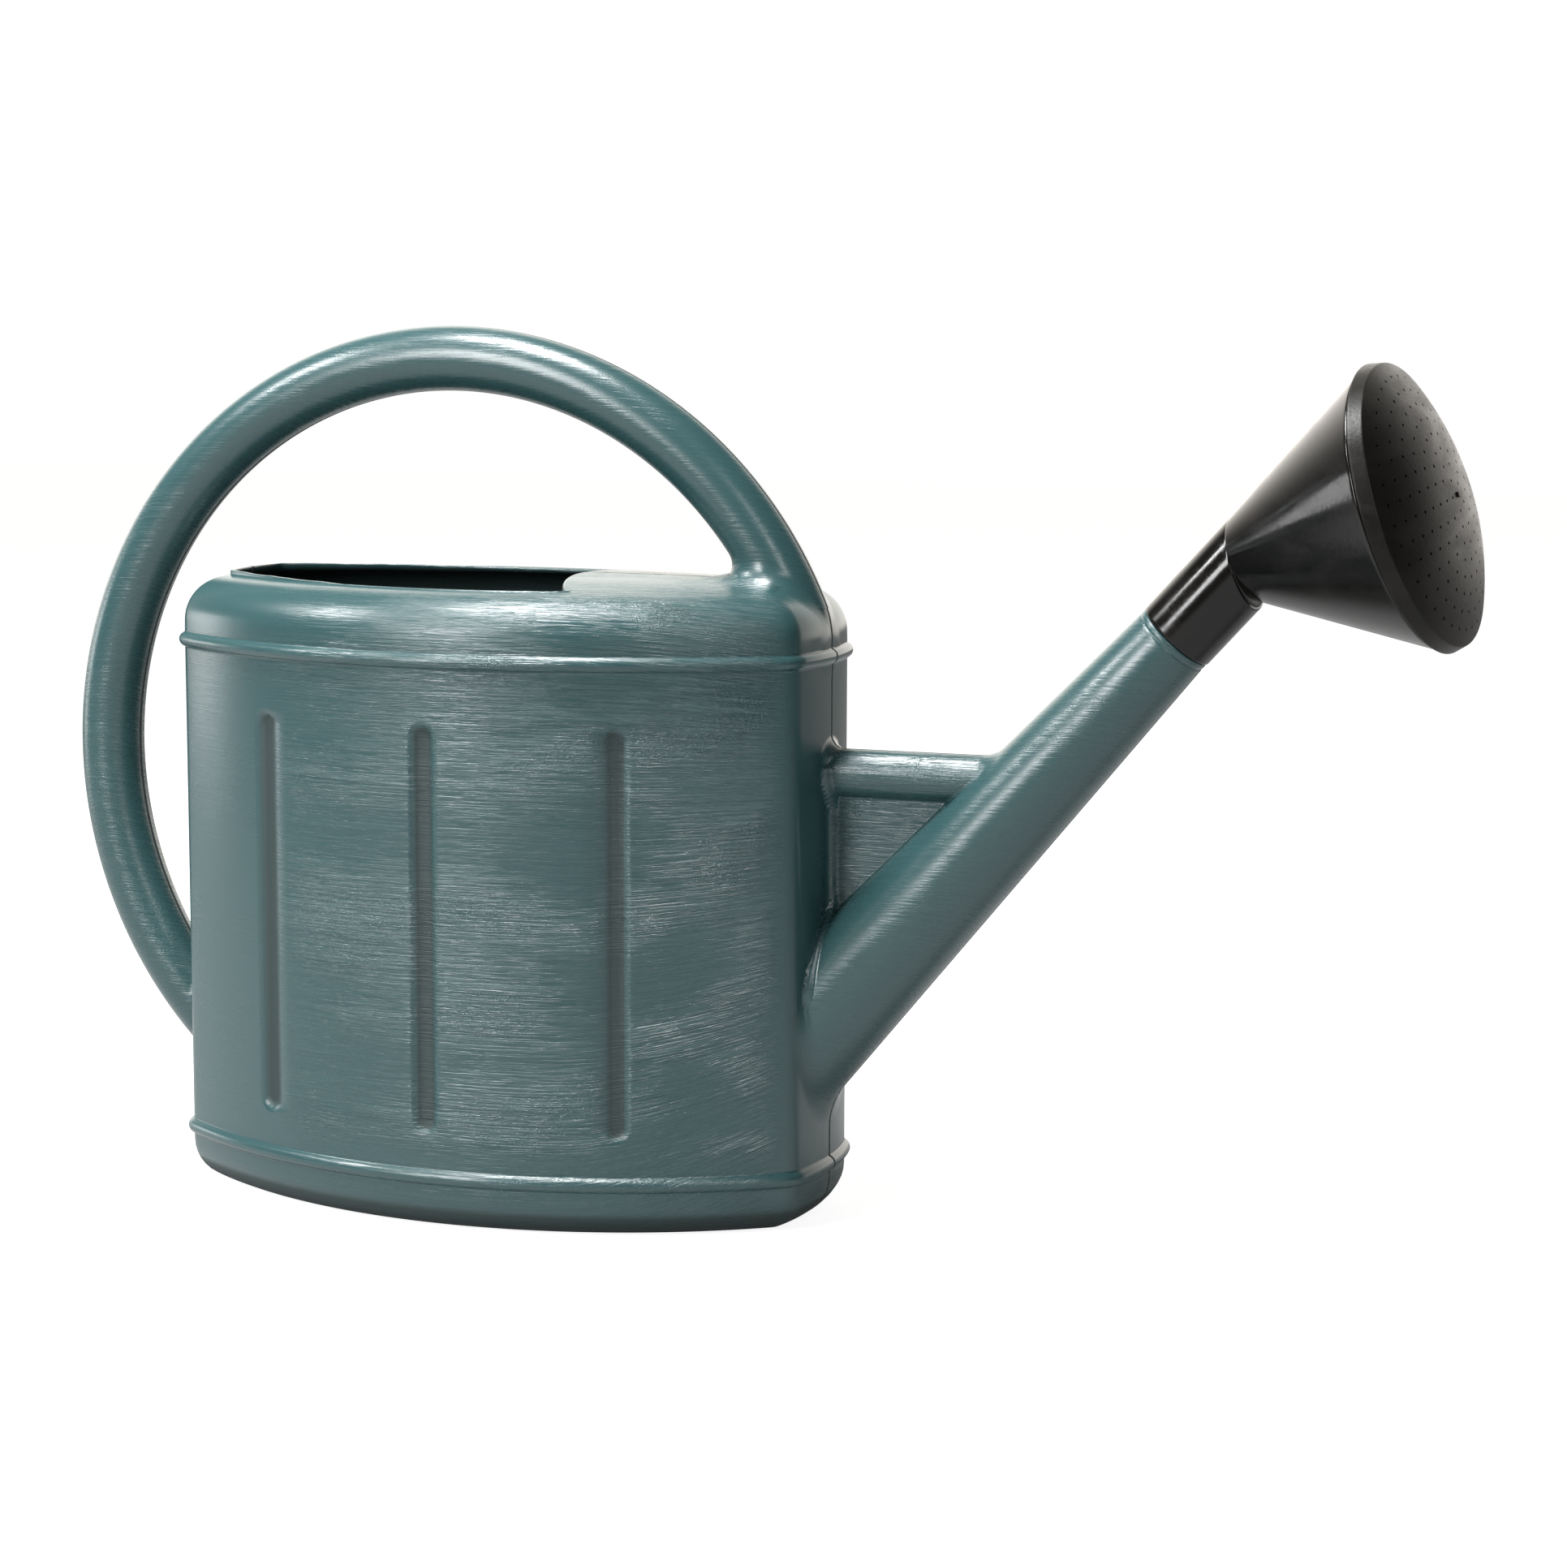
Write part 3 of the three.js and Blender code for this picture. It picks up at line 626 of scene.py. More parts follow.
@dataclass
class Spout:
    """The spout: a straight tapered tube from the front wall, with a step and a spigot for the rose."""

    tank: Tank
    rise: float = math.radians(47.8)
    root_height: float = 95.9 * MM
    root_radius: float = 27.95 * MM
    length: float = 228.6 * MM
    end_radius: float = 17.2 * MM
    spigot_length: float = 26 * MM
    spigot_radius: float = 15.75 * MM
    deepest: float = -40 * MM
    # The skin: its grid, where it starts and ends, and how far its points may move.
    sides: int = 88
    inner_rows: int = 30
    start: float = -0.6 * MM
    soft: float = 0.9 * MM
    chamfer: float = 0.5 * MM
    groove_back: float = 3 * MM
    groove_depth: float = 0.35 * MM
    groove_width: float = 0.5 * MM
    row_step: float = 3 * MM
    root_rows: Pair = (0.7 * MM, 26 * MM)
    groove_rows: Pair = (0.35 * MM, 2.5 * MM)
    strut_place: float = 150 * MM
    strut_rows: Pair = (1.6 * MM, 34 * MM)
    bow_run: float = 60 * MM
    bow_rounds: int = 3
    reach: Pair = (0, 10 * MM)

    @property
    def root(self) -> Array:
        """Where its axis leaves the front of the tank."""
        return np.array([self.tank.length / 2, 0, self.root_height])

    @property
    def axis(self) -> Array:
        """Its direction."""
        return np.array([math.cos(self.rise), 0, math.sin(self.rise)])

    @property
    def up(self) -> Array:
        """The way square to its axis, upwards."""
        return np.array([-math.sin(self.rise), 0, math.cos(self.rise)])

    @property
    def taper(self) -> float:
        """How much its radius shrinks along its length."""
        return (self.root_radius - self.end_radius) / self.length

    def radius_at(self, along: Array) -> Array:
        """Its outer radius at a distance along it."""
        return self.root_radius - self.taper * along

    def distance(self, points: Array) -> Array:
        """Signed distance from the tapered tube, endless past its ends and without taper deep in the tank.

        Args:
            points: Places, as rows.

        Returns:
            Distances, below zero inside.
        """
        away = points - self.root
        along = away @ self.axis
        off = np.linalg.norm(away - along[:, None] * self.axis, axis=1)
        return (off - self.radius_at(np.maximum(along, self.deepest))) * math.cos(math.atan(self.taper))


@dataclass
class Strut:
    """The round strut between tank and spout, with the flat web under it."""

    tank: Tank
    spout: Spout
    level: float = 200.3 * MM
    radius: float = 10.5 * MM
    web_thickness: float = 6 * MM
    bury: float = 12 * MM
    # The skin: its grid, where it starts and ends, and how far its points may move.
    sides: int = 64
    inner_rows: int = 12
    row_part: float = 0.03
    tank_rows: Pair = (0.006, 0.12)
    spout_rows: Pair = (0.012, 0.3)
    skin_sink: float = 1 * MM
    spout_place: float = 130 * MM
    reach: Pair = (0, 8 * MM)
    web_rows: int = 56
    web_spout_rows: Pair = (0.012, 0.2)
    web_foot: float = 2 * MM
    web_top_sink: float = 4 * MM
    web_skin_sink: float = 1.2 * MM
    web_taper_part: float = 0.9
    web_least: float = 0.5 * MM
    web_reach: Pair = (0, 3.2 * MM)

    @property
    def end_x(self) -> float:
        """Where its axis meets the spout's."""
        return self.tank.length / 2 + (self.level - self.spout.root_height) / math.tan(self.spout.rise)

    def distance(self, points: Array) -> Array:
        """Signed distance from the round bar, with flat ends deep inside the tank and the spout."""
        bar = np.hypot(points[:, 1], points[:, 2] - self.level) - self.radius
        start = self.tank.length / 2 - self.bury
        return np.maximum(bar, np.maximum(start - points[:, 0], points[:, 0] - self.end_x))

    def web_distance(self, points: Array) -> Array:
        """Signed distance from the flat web, which ends inside the strut and the spout.

        Args:
            points: Places, as rows.

        Returns:
            Distances, below zero inside.
        """
        sheet = np.abs(points[:, 1]) - self.web_thickness / 2
        below = (self.spout.root - points) @ self.spout.up
        start = self.tank.length / 2 - self.bury
        ends = np.maximum(np.maximum(start - points[:, 0], points[:, 2] - self.level), below)
        return np.maximum(sheet, ends)


@dataclass
class CanForm:
    """All the can's forms run together: a chain of rounded unions, each with its own fillet."""

    tank: Tank = field(default_factory=Tank)
    deck_fillet: float = 12 * MM
    wall_fillet: float = 9 * MM
    spout_fillet: float = 6 * MM
    strut_fillet: Pair = (1.6 * MM, 4 * MM)
    web_fillet: float = 0.9 * MM
    collar_radius: float = 4.3 * MM
    collar_sink: float = 1.9 * MM
    collar_blend: float = 8 * MM
    collar_fillet: float = 1 * MM
    collar_fade: float = 1.5
    # Past its own share a part's skin dives this far inside, over this reach.
    dive: float = 0.35 * MM
    dive_reach: float = 2.5 * MM
    least_fillet: float = 0.05 * MM
    leg_divide: float = 200 * MM
    collar_rise: Pair = (-10 * MM, 14 * MM)
    strut_top: Pair = (2 * MM, 9 * MM)
    shared: Pair = (8 * MM, 14 * MM)
    slope_reach: float = 0.15 * MM
    search_steps: int = 33
    halvings: int = 7

    def __post_init__(self) -> None:
        """Makes the limbs round the tank."""
        self.hoop = Hoop(self.tank)
        self.spout = Spout(self.tank)
        self.strut = Strut(self.tank, self.spout)

    def leg_fillet(self, points: Array) -> Array:
        """The fillet round the handle's legs, less where leg and tank face the same way and lie flush.

        Args:
            points: Places, as rows.

        Returns:
            One radius for each place.
        """
        fillet = np.where(points[:, 2] > self.leg_divide, self.deck_fillet, self.wall_fillet)
        bar = unit(points - self.hoop.middle(self.hoop.nearest(points)))
        alike = (bar * self.tank.outward(points)).sum(1)
        return np.maximum(fillet * np.clip(1 - alike, 0, 1), self.least_fillet)

    def parts(self, points: Array) -> dict[str, Array]:
        """The signed distance of every part at some points.

        Args:
            points: Places, as rows.

        Returns:
            One set of distances for each part's name.
        """
        return {
            "tank": self.tank.distance(points),
            "hoop": self.hoop.distance(points),
            "spout": self.spout.distance(points),
            "strut": self.strut.distance(points),
            "web": self.strut.web_distance(points),
        }

    def others(self, points: Array, own: str, parts: dict[str, Array]) -> Array:
        """The plain union of every part but one's own."""
        return np.min([value for name, value in parts.items() if name != own], axis=0)

    def joined(self, points: Array, parts: dict[str, Array]) -> Array:
        """The signed distance of the whole: tank and hoop, then spout, strut, web and their collar.

        Args:
            points: Places, as rows.
            parts: The parts' distances there.

        Returns:
            Distances, below zero inside.
        """
        ahead = points[:, 0] > 0
        top = smooth_step(*self.strut_top, points[:, 2] - self.strut.level)
        low, high = self.strut_fillet
        limbs = smooth_union(parts["spout"], parts["strut"], low + (high - low) * top)
        limbs = smooth_union(limbs, parts["web"], self.web_fillet)
        collared = smooth_step(*self.collar_rise, points[:, 2] - self.spout.root_height) * (1 - top)
        seat = smooth_union(parts["spout"], parts["strut"], high)
        seat = np.maximum(smooth_union(seat, parts["web"], self.collar_blend) + self.collar_sink, 0)
        collar = np.hypot(seat, np.maximum(parts["tank"], 0)) - self.collar_radius
        collar = collar + (1 - collared) * self.collar_fade * self.collar_radius
        body = smooth_union(parts["tank"], parts["hoop"], self.leg_fillet(points))
        fillet = self.spout_fillet + (self.collar_fillet - self.spout_fillet) * collared
        front = smooth_union(body, limbs, fillet)
        front = smooth_union(front, collar, self.collar_fillet)
        return np.where(ahead, front, body)

    def settle(self, points: Array, normals: Array, own: str, reach: Pair) -> tuple[Array, Array]:
        """Moves a part's points along their normals onto the joined surface, or a hair inside past its share.

        The joined distance is sampled at steps along the normal, with the part's own distance put in as the
        step itself. The first change from inside to outside is the surface. Where there is none, a hidden
        point stays, and any other goes where it is nearest to the surface.

        Args:
            points: Points on the part's own surface.
            normals: Its outward directions there.
            own: The part's name.
            reach: The least and the greatest step along the normal.

        Returns:
            The moved points and their shading normals, which are zero rows where nothing else is near.
        """
        steps = np.linspace(*reach, self.search_steps)
        values = np.stack([self.sunk(points, normals, own, step) for step in steps])
        crossing = (values[:-1] <= 0) & (values[1:] > 0)
        found = crossing.any(0)
        first = crossing.argmax(0)
        low, high = steps[first], steps[first + 1]
        for _ in range(self.halvings):
            middle = (low + high) / 2
            inside = self.sunk(points, normals, own, middle) <= 0
            low, high = np.where(inside, middle, low), np.where(inside, high, middle)
        hidden = np.where(values.max(0) <= 0, 0, steps[np.abs(values).argmin(0)])
        step = np.where(found, (low + high) / 2, hidden)
        moved = points + normals * step[:, None]
        return moved, self.shading(moved, self.sharing(points, own))

    def sharing(self, points: Array, own: str) -> Array:
        """How much of a point's shading comes from the joined form: all of it near another part."""
        return 1 - smooth_step(*self.shared, self.others(points, own, self.parts(points)))

    def sunk(self, points: Array, normals: Array, own: str, step: float | Array) -> Array:
        """The joined distance at a step along the normals, a little more past the part's own share.

        Args:
            points: Points on the part's own surface.
            normals: Its outward directions there.
            own: The part's name.
            step: How far along the normals.

        Returns:
            Distances, below zero inside.
        """
        step = np.broadcast_to(step, len(points))
        at = points + normals * step[:, None]
        parts = self.parts(at)
        if own != "hoop":
            parts[own] = step
        past = parts[own] - self.others(at, own, parts)
        return self.joined(at, parts) + self.dive * smooth_step(0, self.dive_reach, past)

    def shading(self, points: Array, share: Array) -> Array:
        """Shading normals from the joined distance's slope, by central differences.

        Args:
            points: Places, as rows.
            share: How much of each point's shading comes from the joined form.

        Returns:
            The normals, as zero rows where the share is half or less.
        """
        slope = np.zeros_like(points)
        for axis, shift in enumerate(np.eye(3) * self.slope_reach):
            above, below = points + shift, points - shift
            slope[:, axis] = self.joined(above, self.parts(above)) - self.joined(below, self.parts(below))
        return np.where((share > 0.5)[:, None], unit(slope), 0)


# ---------- The can's skins ----------


@dataclass
class CanMoulding:
    """The blow-moulded can: five skins that lie on one joined surface."""

    form: CanForm = field(default_factory=CanForm)
    body: str = "can"
    slot: str = "can_plastic"
    # Where points move onto the joined form.
    settled_half_width: float = 48 * MM
    settled_from: float = 84 * MM
    settled_above: float = 34 * MM
    settled_deck_rows: int = 12
    near_limb: float = 16 * MM
    # The mouth's edge: how its corners with the tongue are softened, and the tongue's run-out.
    mouth_corner_columns: tuple[int, int] = (4, 9)
    mouth_corner_rounds: int = 14
    tongue_fade_columns: tuple[int, int] = (-7, 2)
    tongue_thicker: float = 1.4 * MM
    tongue_foot: float = 1.6 * MM
    # The lip: the cut's unevenness, its foot, its rounded edges, and the deck's rows beside it.
    lip_wave: float = 0.12 * MM
    lip_wave_lengths: tuple[float, ...] = (9 * MM, 17 * MM, 31 * MM)
    lip_wave_seed: int = 4
    lip_foot: float = 1.08
    lip_foot_rise: float = 0.12
    lip_outer_angles: tuple[int, ...] = (30, 60, 90)
    lip_inner_angles: tuple[int, ...] = (90, 67, 45, 22, 0)
    lip_under: float = 0.6
    under_parts: tuple[float, ...] = (0.04, 0.3, 0.6, 0.85)
    deck_part: float = 0.09
    deck_edge_parts: Pair = (0.04, 0.12)
    deck_foot_parts: Pair = (0.04, 0.1)
    # How thick the drawn lines lie on the limbs.
    line_strength: dict[str, float] = field(default_factory=lambda: {"can_strut": 0.4, "web": 0.9})
    plain_strength: float = 0.3

    def tank_rows(self) -> tuple[Array, Array]:
        """The outside's profile from the base's edge to the shoulder's upper edge.

        Returns:
            The inset and the height of each row.
        """
        tank = self.form.tank
        turn = np.radians(np.linspace(-90, 0, tank.base_rows))
        base = np.stack([tank.base_radius * (1 - np.cos(turn)), tank.base_radius * (1 + np.sin(turn))], 1)
        close = {level: tank.bead_rows for level in tank.bead_levels}
        close |= self.groove_end_rows(tank.groove_end_step)
        close |= {tank.middle_level: tank.middle_rows}
        top = tank.height - tank.shoulder_radius
        z = graded(tank.base_radius, top, tank.row_step, close)[1:-1]
        side = np.stack([-tank.bead(z), z], 1)
        turn = np.linspace(0, tank.shoulder_sweep, tank.shoulder_rows)
        radius = tank.shoulder_radius
        shoulder = np.stack([radius * (1 - np.cos(turn)), top + radius * np.sin(turn)], 1)
        rows = np.concatenate([base, side, shoulder])
        return rows[:, 0], rows[:, 1]

    def groove_end_rows(self, step: float) -> dict[float, Pair]:
        """Where rows lie closer for the grooves' ends: a step and its reach for each level."""
        tank = self.form.tank
        levels = (tank.groove_bottom + tank.groove_end_inset, tank.groove_top - tank.groove_end_inset)
        return {level: (step, tank.groove_end_reach) for level in levels}

    def inner_rows(self) -> tuple[Array, Array]:
        """The inside's profile from the shoulder's upper edge down to the base.

        Returns:
            The inset and the height of each row.
        """
        tank = self.form.tank
        turn = np.linspace(tank.shoulder_sweep, 0, tank.inner_shoulder_rows)
        radius = tank.shoulder_radius - tank.wall
        top = tank.height - tank.shoulder_radius
        shoulder = np.stack([tank.shoulder_radius - radius * np.cos(turn), top + radius * np.sin(turn)], 1)
        close = self.groove_end_rows(tank.inner_groove_end_step)
        z = graded(tank.base_radius, top, tank.inner_row_step, close)[1:-1][::-1]
        side = np.stack([np.full_like(z, tank.wall), z], 1)
        turn = np.radians(np.linspace(0, -90, tank.inner_base_rows))
        centre, radius = tank.base_radius, tank.base_radius - tank.wall
        base = np.stack([centre - radius * np.cos(turn), centre + radius * np.sin(turn)], 1)
        rows = np.concatenate([shoulder, side, base])
        return rows[:, 0], rows[:, 1]

    def walls(self, rows: tuple[Array, Array]) -> Array:
        """Rows of the tank's plan at each inset and height, pressed in along Y by the grooves.

        Args:
            rows: The inset and the height of each row.

        Returns:
            The grid of points.
        """
        inset, z = rows
        plan = self.form.tank.outline(inset)
        height = np.broadcast_to(z[:, None], plan.shape[:2])
        points = np.concatenate([plan, height[..., None]], -1)
        lean = points[..., :2] - np.array([0, 1]) * np.sign(points[..., 1:2]) * self.form.tank.side_centre
        deep = self.form.tank.groove(points[..., 0], points[..., 2])
        points[..., :2] -= unit(lean) * deep[..., None]
        return points

    def mouth_edge(self) -> tuple[Array, Array]:
        """The mouth's edge in plan: the tank's plan drawn in, and across the front the tongue's round edge.

        Returns:
            One (x, y) for each column, and how much of each column belongs to the tongue.
        """
        tank = self.form.tank
        edge = tank.outline(np.array([tank.mouth_inset]))[0]
        centre = self.form.hoop.middle(np.array(self.form.hoop.front_angle))[0]
        count = len(edge)
        ahead = np.hypot(edge[:, 0] - centre, edge[:, 1]) < tank.tongue_radius
        step = np.linalg.norm(np.roll(edge, -1, 0) - edge, axis=1)
        last = int(np.flatnonzero(ahead[: count // 2]).max())
        run = np.concatenate([[0], np.cumsum(step[:last])])
        meet = edge[last]
        turn = math.atan2(meet[1], centre - meet[0]) * run / run[-1]
        tongue = np.stack([centre - tank.tongue_radius * np.cos(turn), tank.tongue_radius * np.sin(turn)], 1)
        edge[: last + 1] = tongue
        edge[count - last :] = tongue[:0:-1] * np.array([1, -1])
        column = np.arange(count)
        from_middle = np.minimum(column, count - column).astype(float)
        soft = edge.copy()
        for _ in range(self.mouth_corner_rounds):
            soft = (np.roll(soft, 1, 0) + 2 * soft + np.roll(soft, -1, 0)) / 4
        weight = 1 - smooth_step(*self.mouth_corner_columns, np.abs(from_middle - last))
        edge = edge + (soft - edge) * weight[:, None]
        fade_from, fade_to = self.tongue_fade_columns
        return edge, 1 - smooth_step(last + fade_from, last + fade_to, from_middle)

    def deck(self) -> Array:
        """Rows from the shoulder's upper edge over the deck, round the mouth's edge, and back below.

        Returns:
            The grid of points.
        """
        tank = self.form.tank
        rim = tank.outline(np.array([tank.rim_inset]))[0]
        edge, tongue = self.mouth_edge()
        way = unit(rim - edge)
        foot = edge + way * (tank.lip_thickness * self.lip_foot + self.tongue_foot * tongue)[:, None]
        parts = graded(0, 1, self.deck_part, {0.0: self.deck_edge_parts, 1.0: self.deck_foot_parts})[1:]
        spread = rim + (foot - rim) * parts[:, None, None]
        over = tank.deck_height(spread[..., 0], spread[..., 1])
        level = tank.deck_height(edge[:, 0], edge[:, 1])
        cut = tank.lip_rear - math.tan(tank.lip_slope) * (edge[:, 0] - edge[:, 0].min())
        cut = cut + self.lip_wave * waves(np.c_[edge, level], self.lip_wave_lengths, self.lip_wave_seed)
        top = np.maximum(level, np.where(tongue > 0, level, cut))
        thick = tank.lip_thickness + self.tongue_thicker * tongue
        height = np.maximum(top - tank.lip_edge, level)
        rows = [self.edge_row(edge, way, thick, level + (top - level) * self.lip_foot_rise)]
        rows.append(self.edge_row(edge, way, thick, height))
        outer_level = tongue * self.level_at(edge, way, thick)
        for angle in np.radians(self.lip_outer_angles):
            out = thick - tank.lip_edge * (1 - math.cos(angle))
            rise = np.maximum(height + tank.lip_edge * math.sin(angle), level) * (1 - tongue) + outer_level
            rows.append(self.edge_row(edge, way, out, rise))
        soft = tank.lip_edge + (tank.tongue_round - tank.lip_edge) * tongue
        for angle in np.radians(self.lip_inner_angles):
            out, drop = soft * (1 - math.cos(angle)), soft * (1 - math.sin(angle))
            rows.append(self.edge_row(edge, way, out, top - drop))
        rows.append(self.edge_row(edge, way, 0 * soft, level - tank.wall - soft * self.lip_under))
        for part in self.under_parts:
            place = edge + (rim - edge) * part
            rows.append(np.c_[place, tank.deck_height(place[:, 0], place[:, 1]) - tank.wall])
        return np.concatenate([np.concatenate([spread, over[..., None]], -1), np.stack(rows)])

    def level_at(self, edge: Array, way: Array, out: Array) -> Array:
        """The deck's height a way out from the mouth's edge."""
        place = edge + way * out[:, None]
        return self.form.tank.deck_height(place[:, 0], place[:, 1])

    def edge_row(self, edge: Array, way: Array, out: Array, height: Array) -> Array:
        """One row along the mouth's edge, moved out along the deck and set at a height."""
        return np.c_[edge + way * out[:, None], height]

    def tank_skin(self) -> bpy.types.Object:
        """Makes the tank: its outside up to the mouth, settled onto the joined form, and its inside.

        Returns:
            The piece.
        """
        tank = self.form.tank
        flat = tank.outline(np.array([tank.base_radius]))[0]
        base = np.stack([np.c_[flat * part, np.zeros(len(flat))] for part in tank.base_parts])
        outside = self.walls(self.tank_rows())
        inside = self.walls(self.inner_rows())
        floor = np.stack([np.c_[inside[-1, :, :2] * part, inside[-1, :, 2]] for part in tank.floor_parts])
        grid = np.concatenate([base, outside, self.deck(), inside, floor])
        outer = np.zeros(grid.shape[:2], bool)
        outer[len(base) : len(base) + len(outside) + self.settled_deck_rows] = True
        points, ways = grid.reshape(-1, 3), Skin(grid).normals().reshape(-1, 3)
        middle = np.abs(points[:, 1]) < self.settled_half_width
        ends = (np.abs(points[:, 0]) > self.settled_from) & (points[:, 2] > self.settled_above)
        chosen = np.flatnonzero(outer.ravel() & middle & ends)
        normals = np.zeros_like(points)
        points[chosen], normals[chosen] = self.form.settle(points[chosen], ways[chosen], "tank", tank.reach)
        return add_skin("can_tank_skin", Skin(points.reshape(grid.shape)), normals)

    def settled(self, name: str, grid: Array, own: str, outer: int, reach: Pair) -> bpy.types.Object:
        """Makes a limb's piece, with its outer rows settled onto the joined form.

        Args:
            name: The piece's name.
            grid: Rows of its outside and then of its inside, joined round.
            own: The limb's name among the form's parts.
            outer: How many rows belong to its outside.
            reach: The least and the greatest step along its normals.

        Returns:
            The piece.
        """
        points = grid.reshape(-1, 3).copy()
        ways = Skin(grid[:outer]).normals().reshape(-1, 3)
        outside = points[: len(ways)]
        near = self.form.others(outside, own, self.form.parts(outside)) < self.near_limb
        if own == "hoop":
            near |= (outside[:, 0] > self.form.hoop.leg_from) & (outside[:, 2] < self.form.hoop.leg_top)
        chosen = np.flatnonzero(near)
        normals = np.zeros_like(points)
        points[chosen], normals[chosen] = self.form.settle(points[chosen], ways[chosen], own, reach)
        return add_skin(name, Skin(points.reshape(grid.shape), joined=True), normals)

    def hoop_skin(self) -> bpy.types.Object:
        """Makes the handle: rings along the ellipse, with its ends parallel to the deck and the rear wall.

        Returns:
            The piece.
        """
        hoop, tank = self.form.hoop, self.form.tank
        turns = ring_angles(hoop.sides)
        mean = (hoop.half_length + hoop.half_height) / 2
        length = (hoop.rear_angle - hoop.front_angle) * mean
        start, end = -hoop.front_sink, length + hoop.rear_sink
        outer = graded(start, end, hoop.row_step, {start: hoop.front_rows, end: hoop.rear_rows})
        along = np.concatenate([outer, np.linspace(end, start, hoop.inner_rows)])
        radius = np.full(len(along), hoop.radius)
        radius[len(outer) :] -= tank.wall
        front = (smooth_step(0, hoop.front_level_run, along) - 1) * math.tan(hoop.front_angle)
        rear = smooth_step(length - hoop.rear_level_run, length, along)
        lean = (front + rear)[:, None] * radius[:, None] * np.cos(turns)
        angle = hoop.front_angle + (along[:, None] + lean) / mean
        out = ring_ways(hoop.outward(angle), turns)
        grid = hoop.middle(angle) + out * radius[:, None, None]
        ahead = tank.front_distance(grid.reshape(-1, 3)).reshape(grid.shape[:2]) * (grid[..., 0] > 0)
        grid[..., 0] -= (ahead + np.hypot(ahead, hoop.flush_edge)) / 2 * (grid[..., 0] > hoop.leg_from)
        return self.settled("can_handle_skin", grid, "hoop", len(outer), hoop.reach)

    def spout_skin(self) -> bpy.types.Object:
        """Makes the spout: rings along its axis to the step, the spigot and its bore back to the tank.

        Returns:
            The piece.
        """
        spout, tank = self.form.spout, self.form.tank
        turns = ring_angles(spout.sides)
        groove = spout.length - spout.groove_back
        close = {spout.start: spout.root_rows, groove: spout.groove_rows, spout.strut_place: spout.strut_rows}
        outer = graded(spout.start, spout.length - spout.soft, spout.row_step, close)
        pressed = spout.groove_depth * np.exp(-(((outer - groove) / spout.groove_width) ** 2))
        turn = np.radians([20, 45, 70, 90])
        shoulder = spout.length - spout.soft + spout.soft * np.sin(turn)
        shoulder_radii = spout.end_radius - spout.soft * (1 - np.cos(turn))
        tip, spigot, chamfer = spout.length + spout.spigot_length, spout.spigot_radius, spout.chamfer
        bore = spigot - tank.wall
        beyond = [spout.length, tip - chamfer, tip, tip, tip - chamfer, spout.length - tank.wall]
        beyond_radii = [spigot, spigot, spigot - chamfer, bore + chamfer, bore, bore]
        back = np.linspace(spout.length, spout.start, spout.inner_rows)[1:]
        along = np.concatenate([outer, shoulder, beyond, back])
        radii = [spout.radius_at(outer) - pressed, shoulder_radii, beyond_radii]
        radii.append(spout.radius_at(back) - tank.wall)
        near = (1 - smooth_step(0, spout.bow_run, along))[:, None]
        base = (np.concatenate(radii) - spout.radius_at(along))[:, None]
        place = along[:, None]
        for _ in range(spout.bow_rounds):
            radius = base + spout.radius_at(place)
            bow = np.sqrt(tank.end_radius**2 - (radius * np.sin(turns)) ** 2)
            bow = tank.end_centre + bow - tank.length / 2
            lean = radius * np.cos(turns) * math.tan(spout.rise) + bow / math.cos(spout.rise)
            place = along[:, None] + near * lean
        out = ring_ways(spout.up, turns)
        grid = spout.root + place[..., None] * spout.axis + out * radius[..., None]
        return self.settled("can_spout_skin", grid[:, ::-1], "spout", len(outer), spout.reach)

    def strut_skin(self) -> bpy.types.Object:
        """Makes the round strut as a tube from inside the tank's wall to inside the spout's wall.

        Returns:
            The piece.
        """
        strut, tank, spout = self.form.strut, self.form.tank, self.form.spout
        turns = ring_angles(strut.sides)
        parts = graded(0, 1, strut.row_part, {0.0: strut.tank_rows, 1.0: strut.spout_rows})
        part = np.concatenate([parts, np.linspace(1, 0, strut.inner_rows)])
        radii = np.full(len(part), strut.radius)
        radii[len(parts) :] -= tank.wall
        y = radii[:, None] * np.sin(turns)
        z = strut.level + radii[:, None] * np.cos(turns)
        start = tank.end_centre + np.sqrt((tank.end_radius - strut.skin_sink) ** 2 - y**2)
        spout_radius = spout.radius_at(strut.spout_place) - strut.skin_sink
        across = np.sqrt(np.maximum(spout_radius**2 - y**2, 0))
        away = z - spout.root_height
        end = tank.length / 2 + (away - across / math.cos(spout.rise)) / math.tan(spout.rise)
        x = start + (end - start) * part[:, None]
        grid = np.stack([x, y, z], -1)[:, ::-1]
        return self.settled("can_strut_skin", grid, "strut", len(parts), strut.reach)

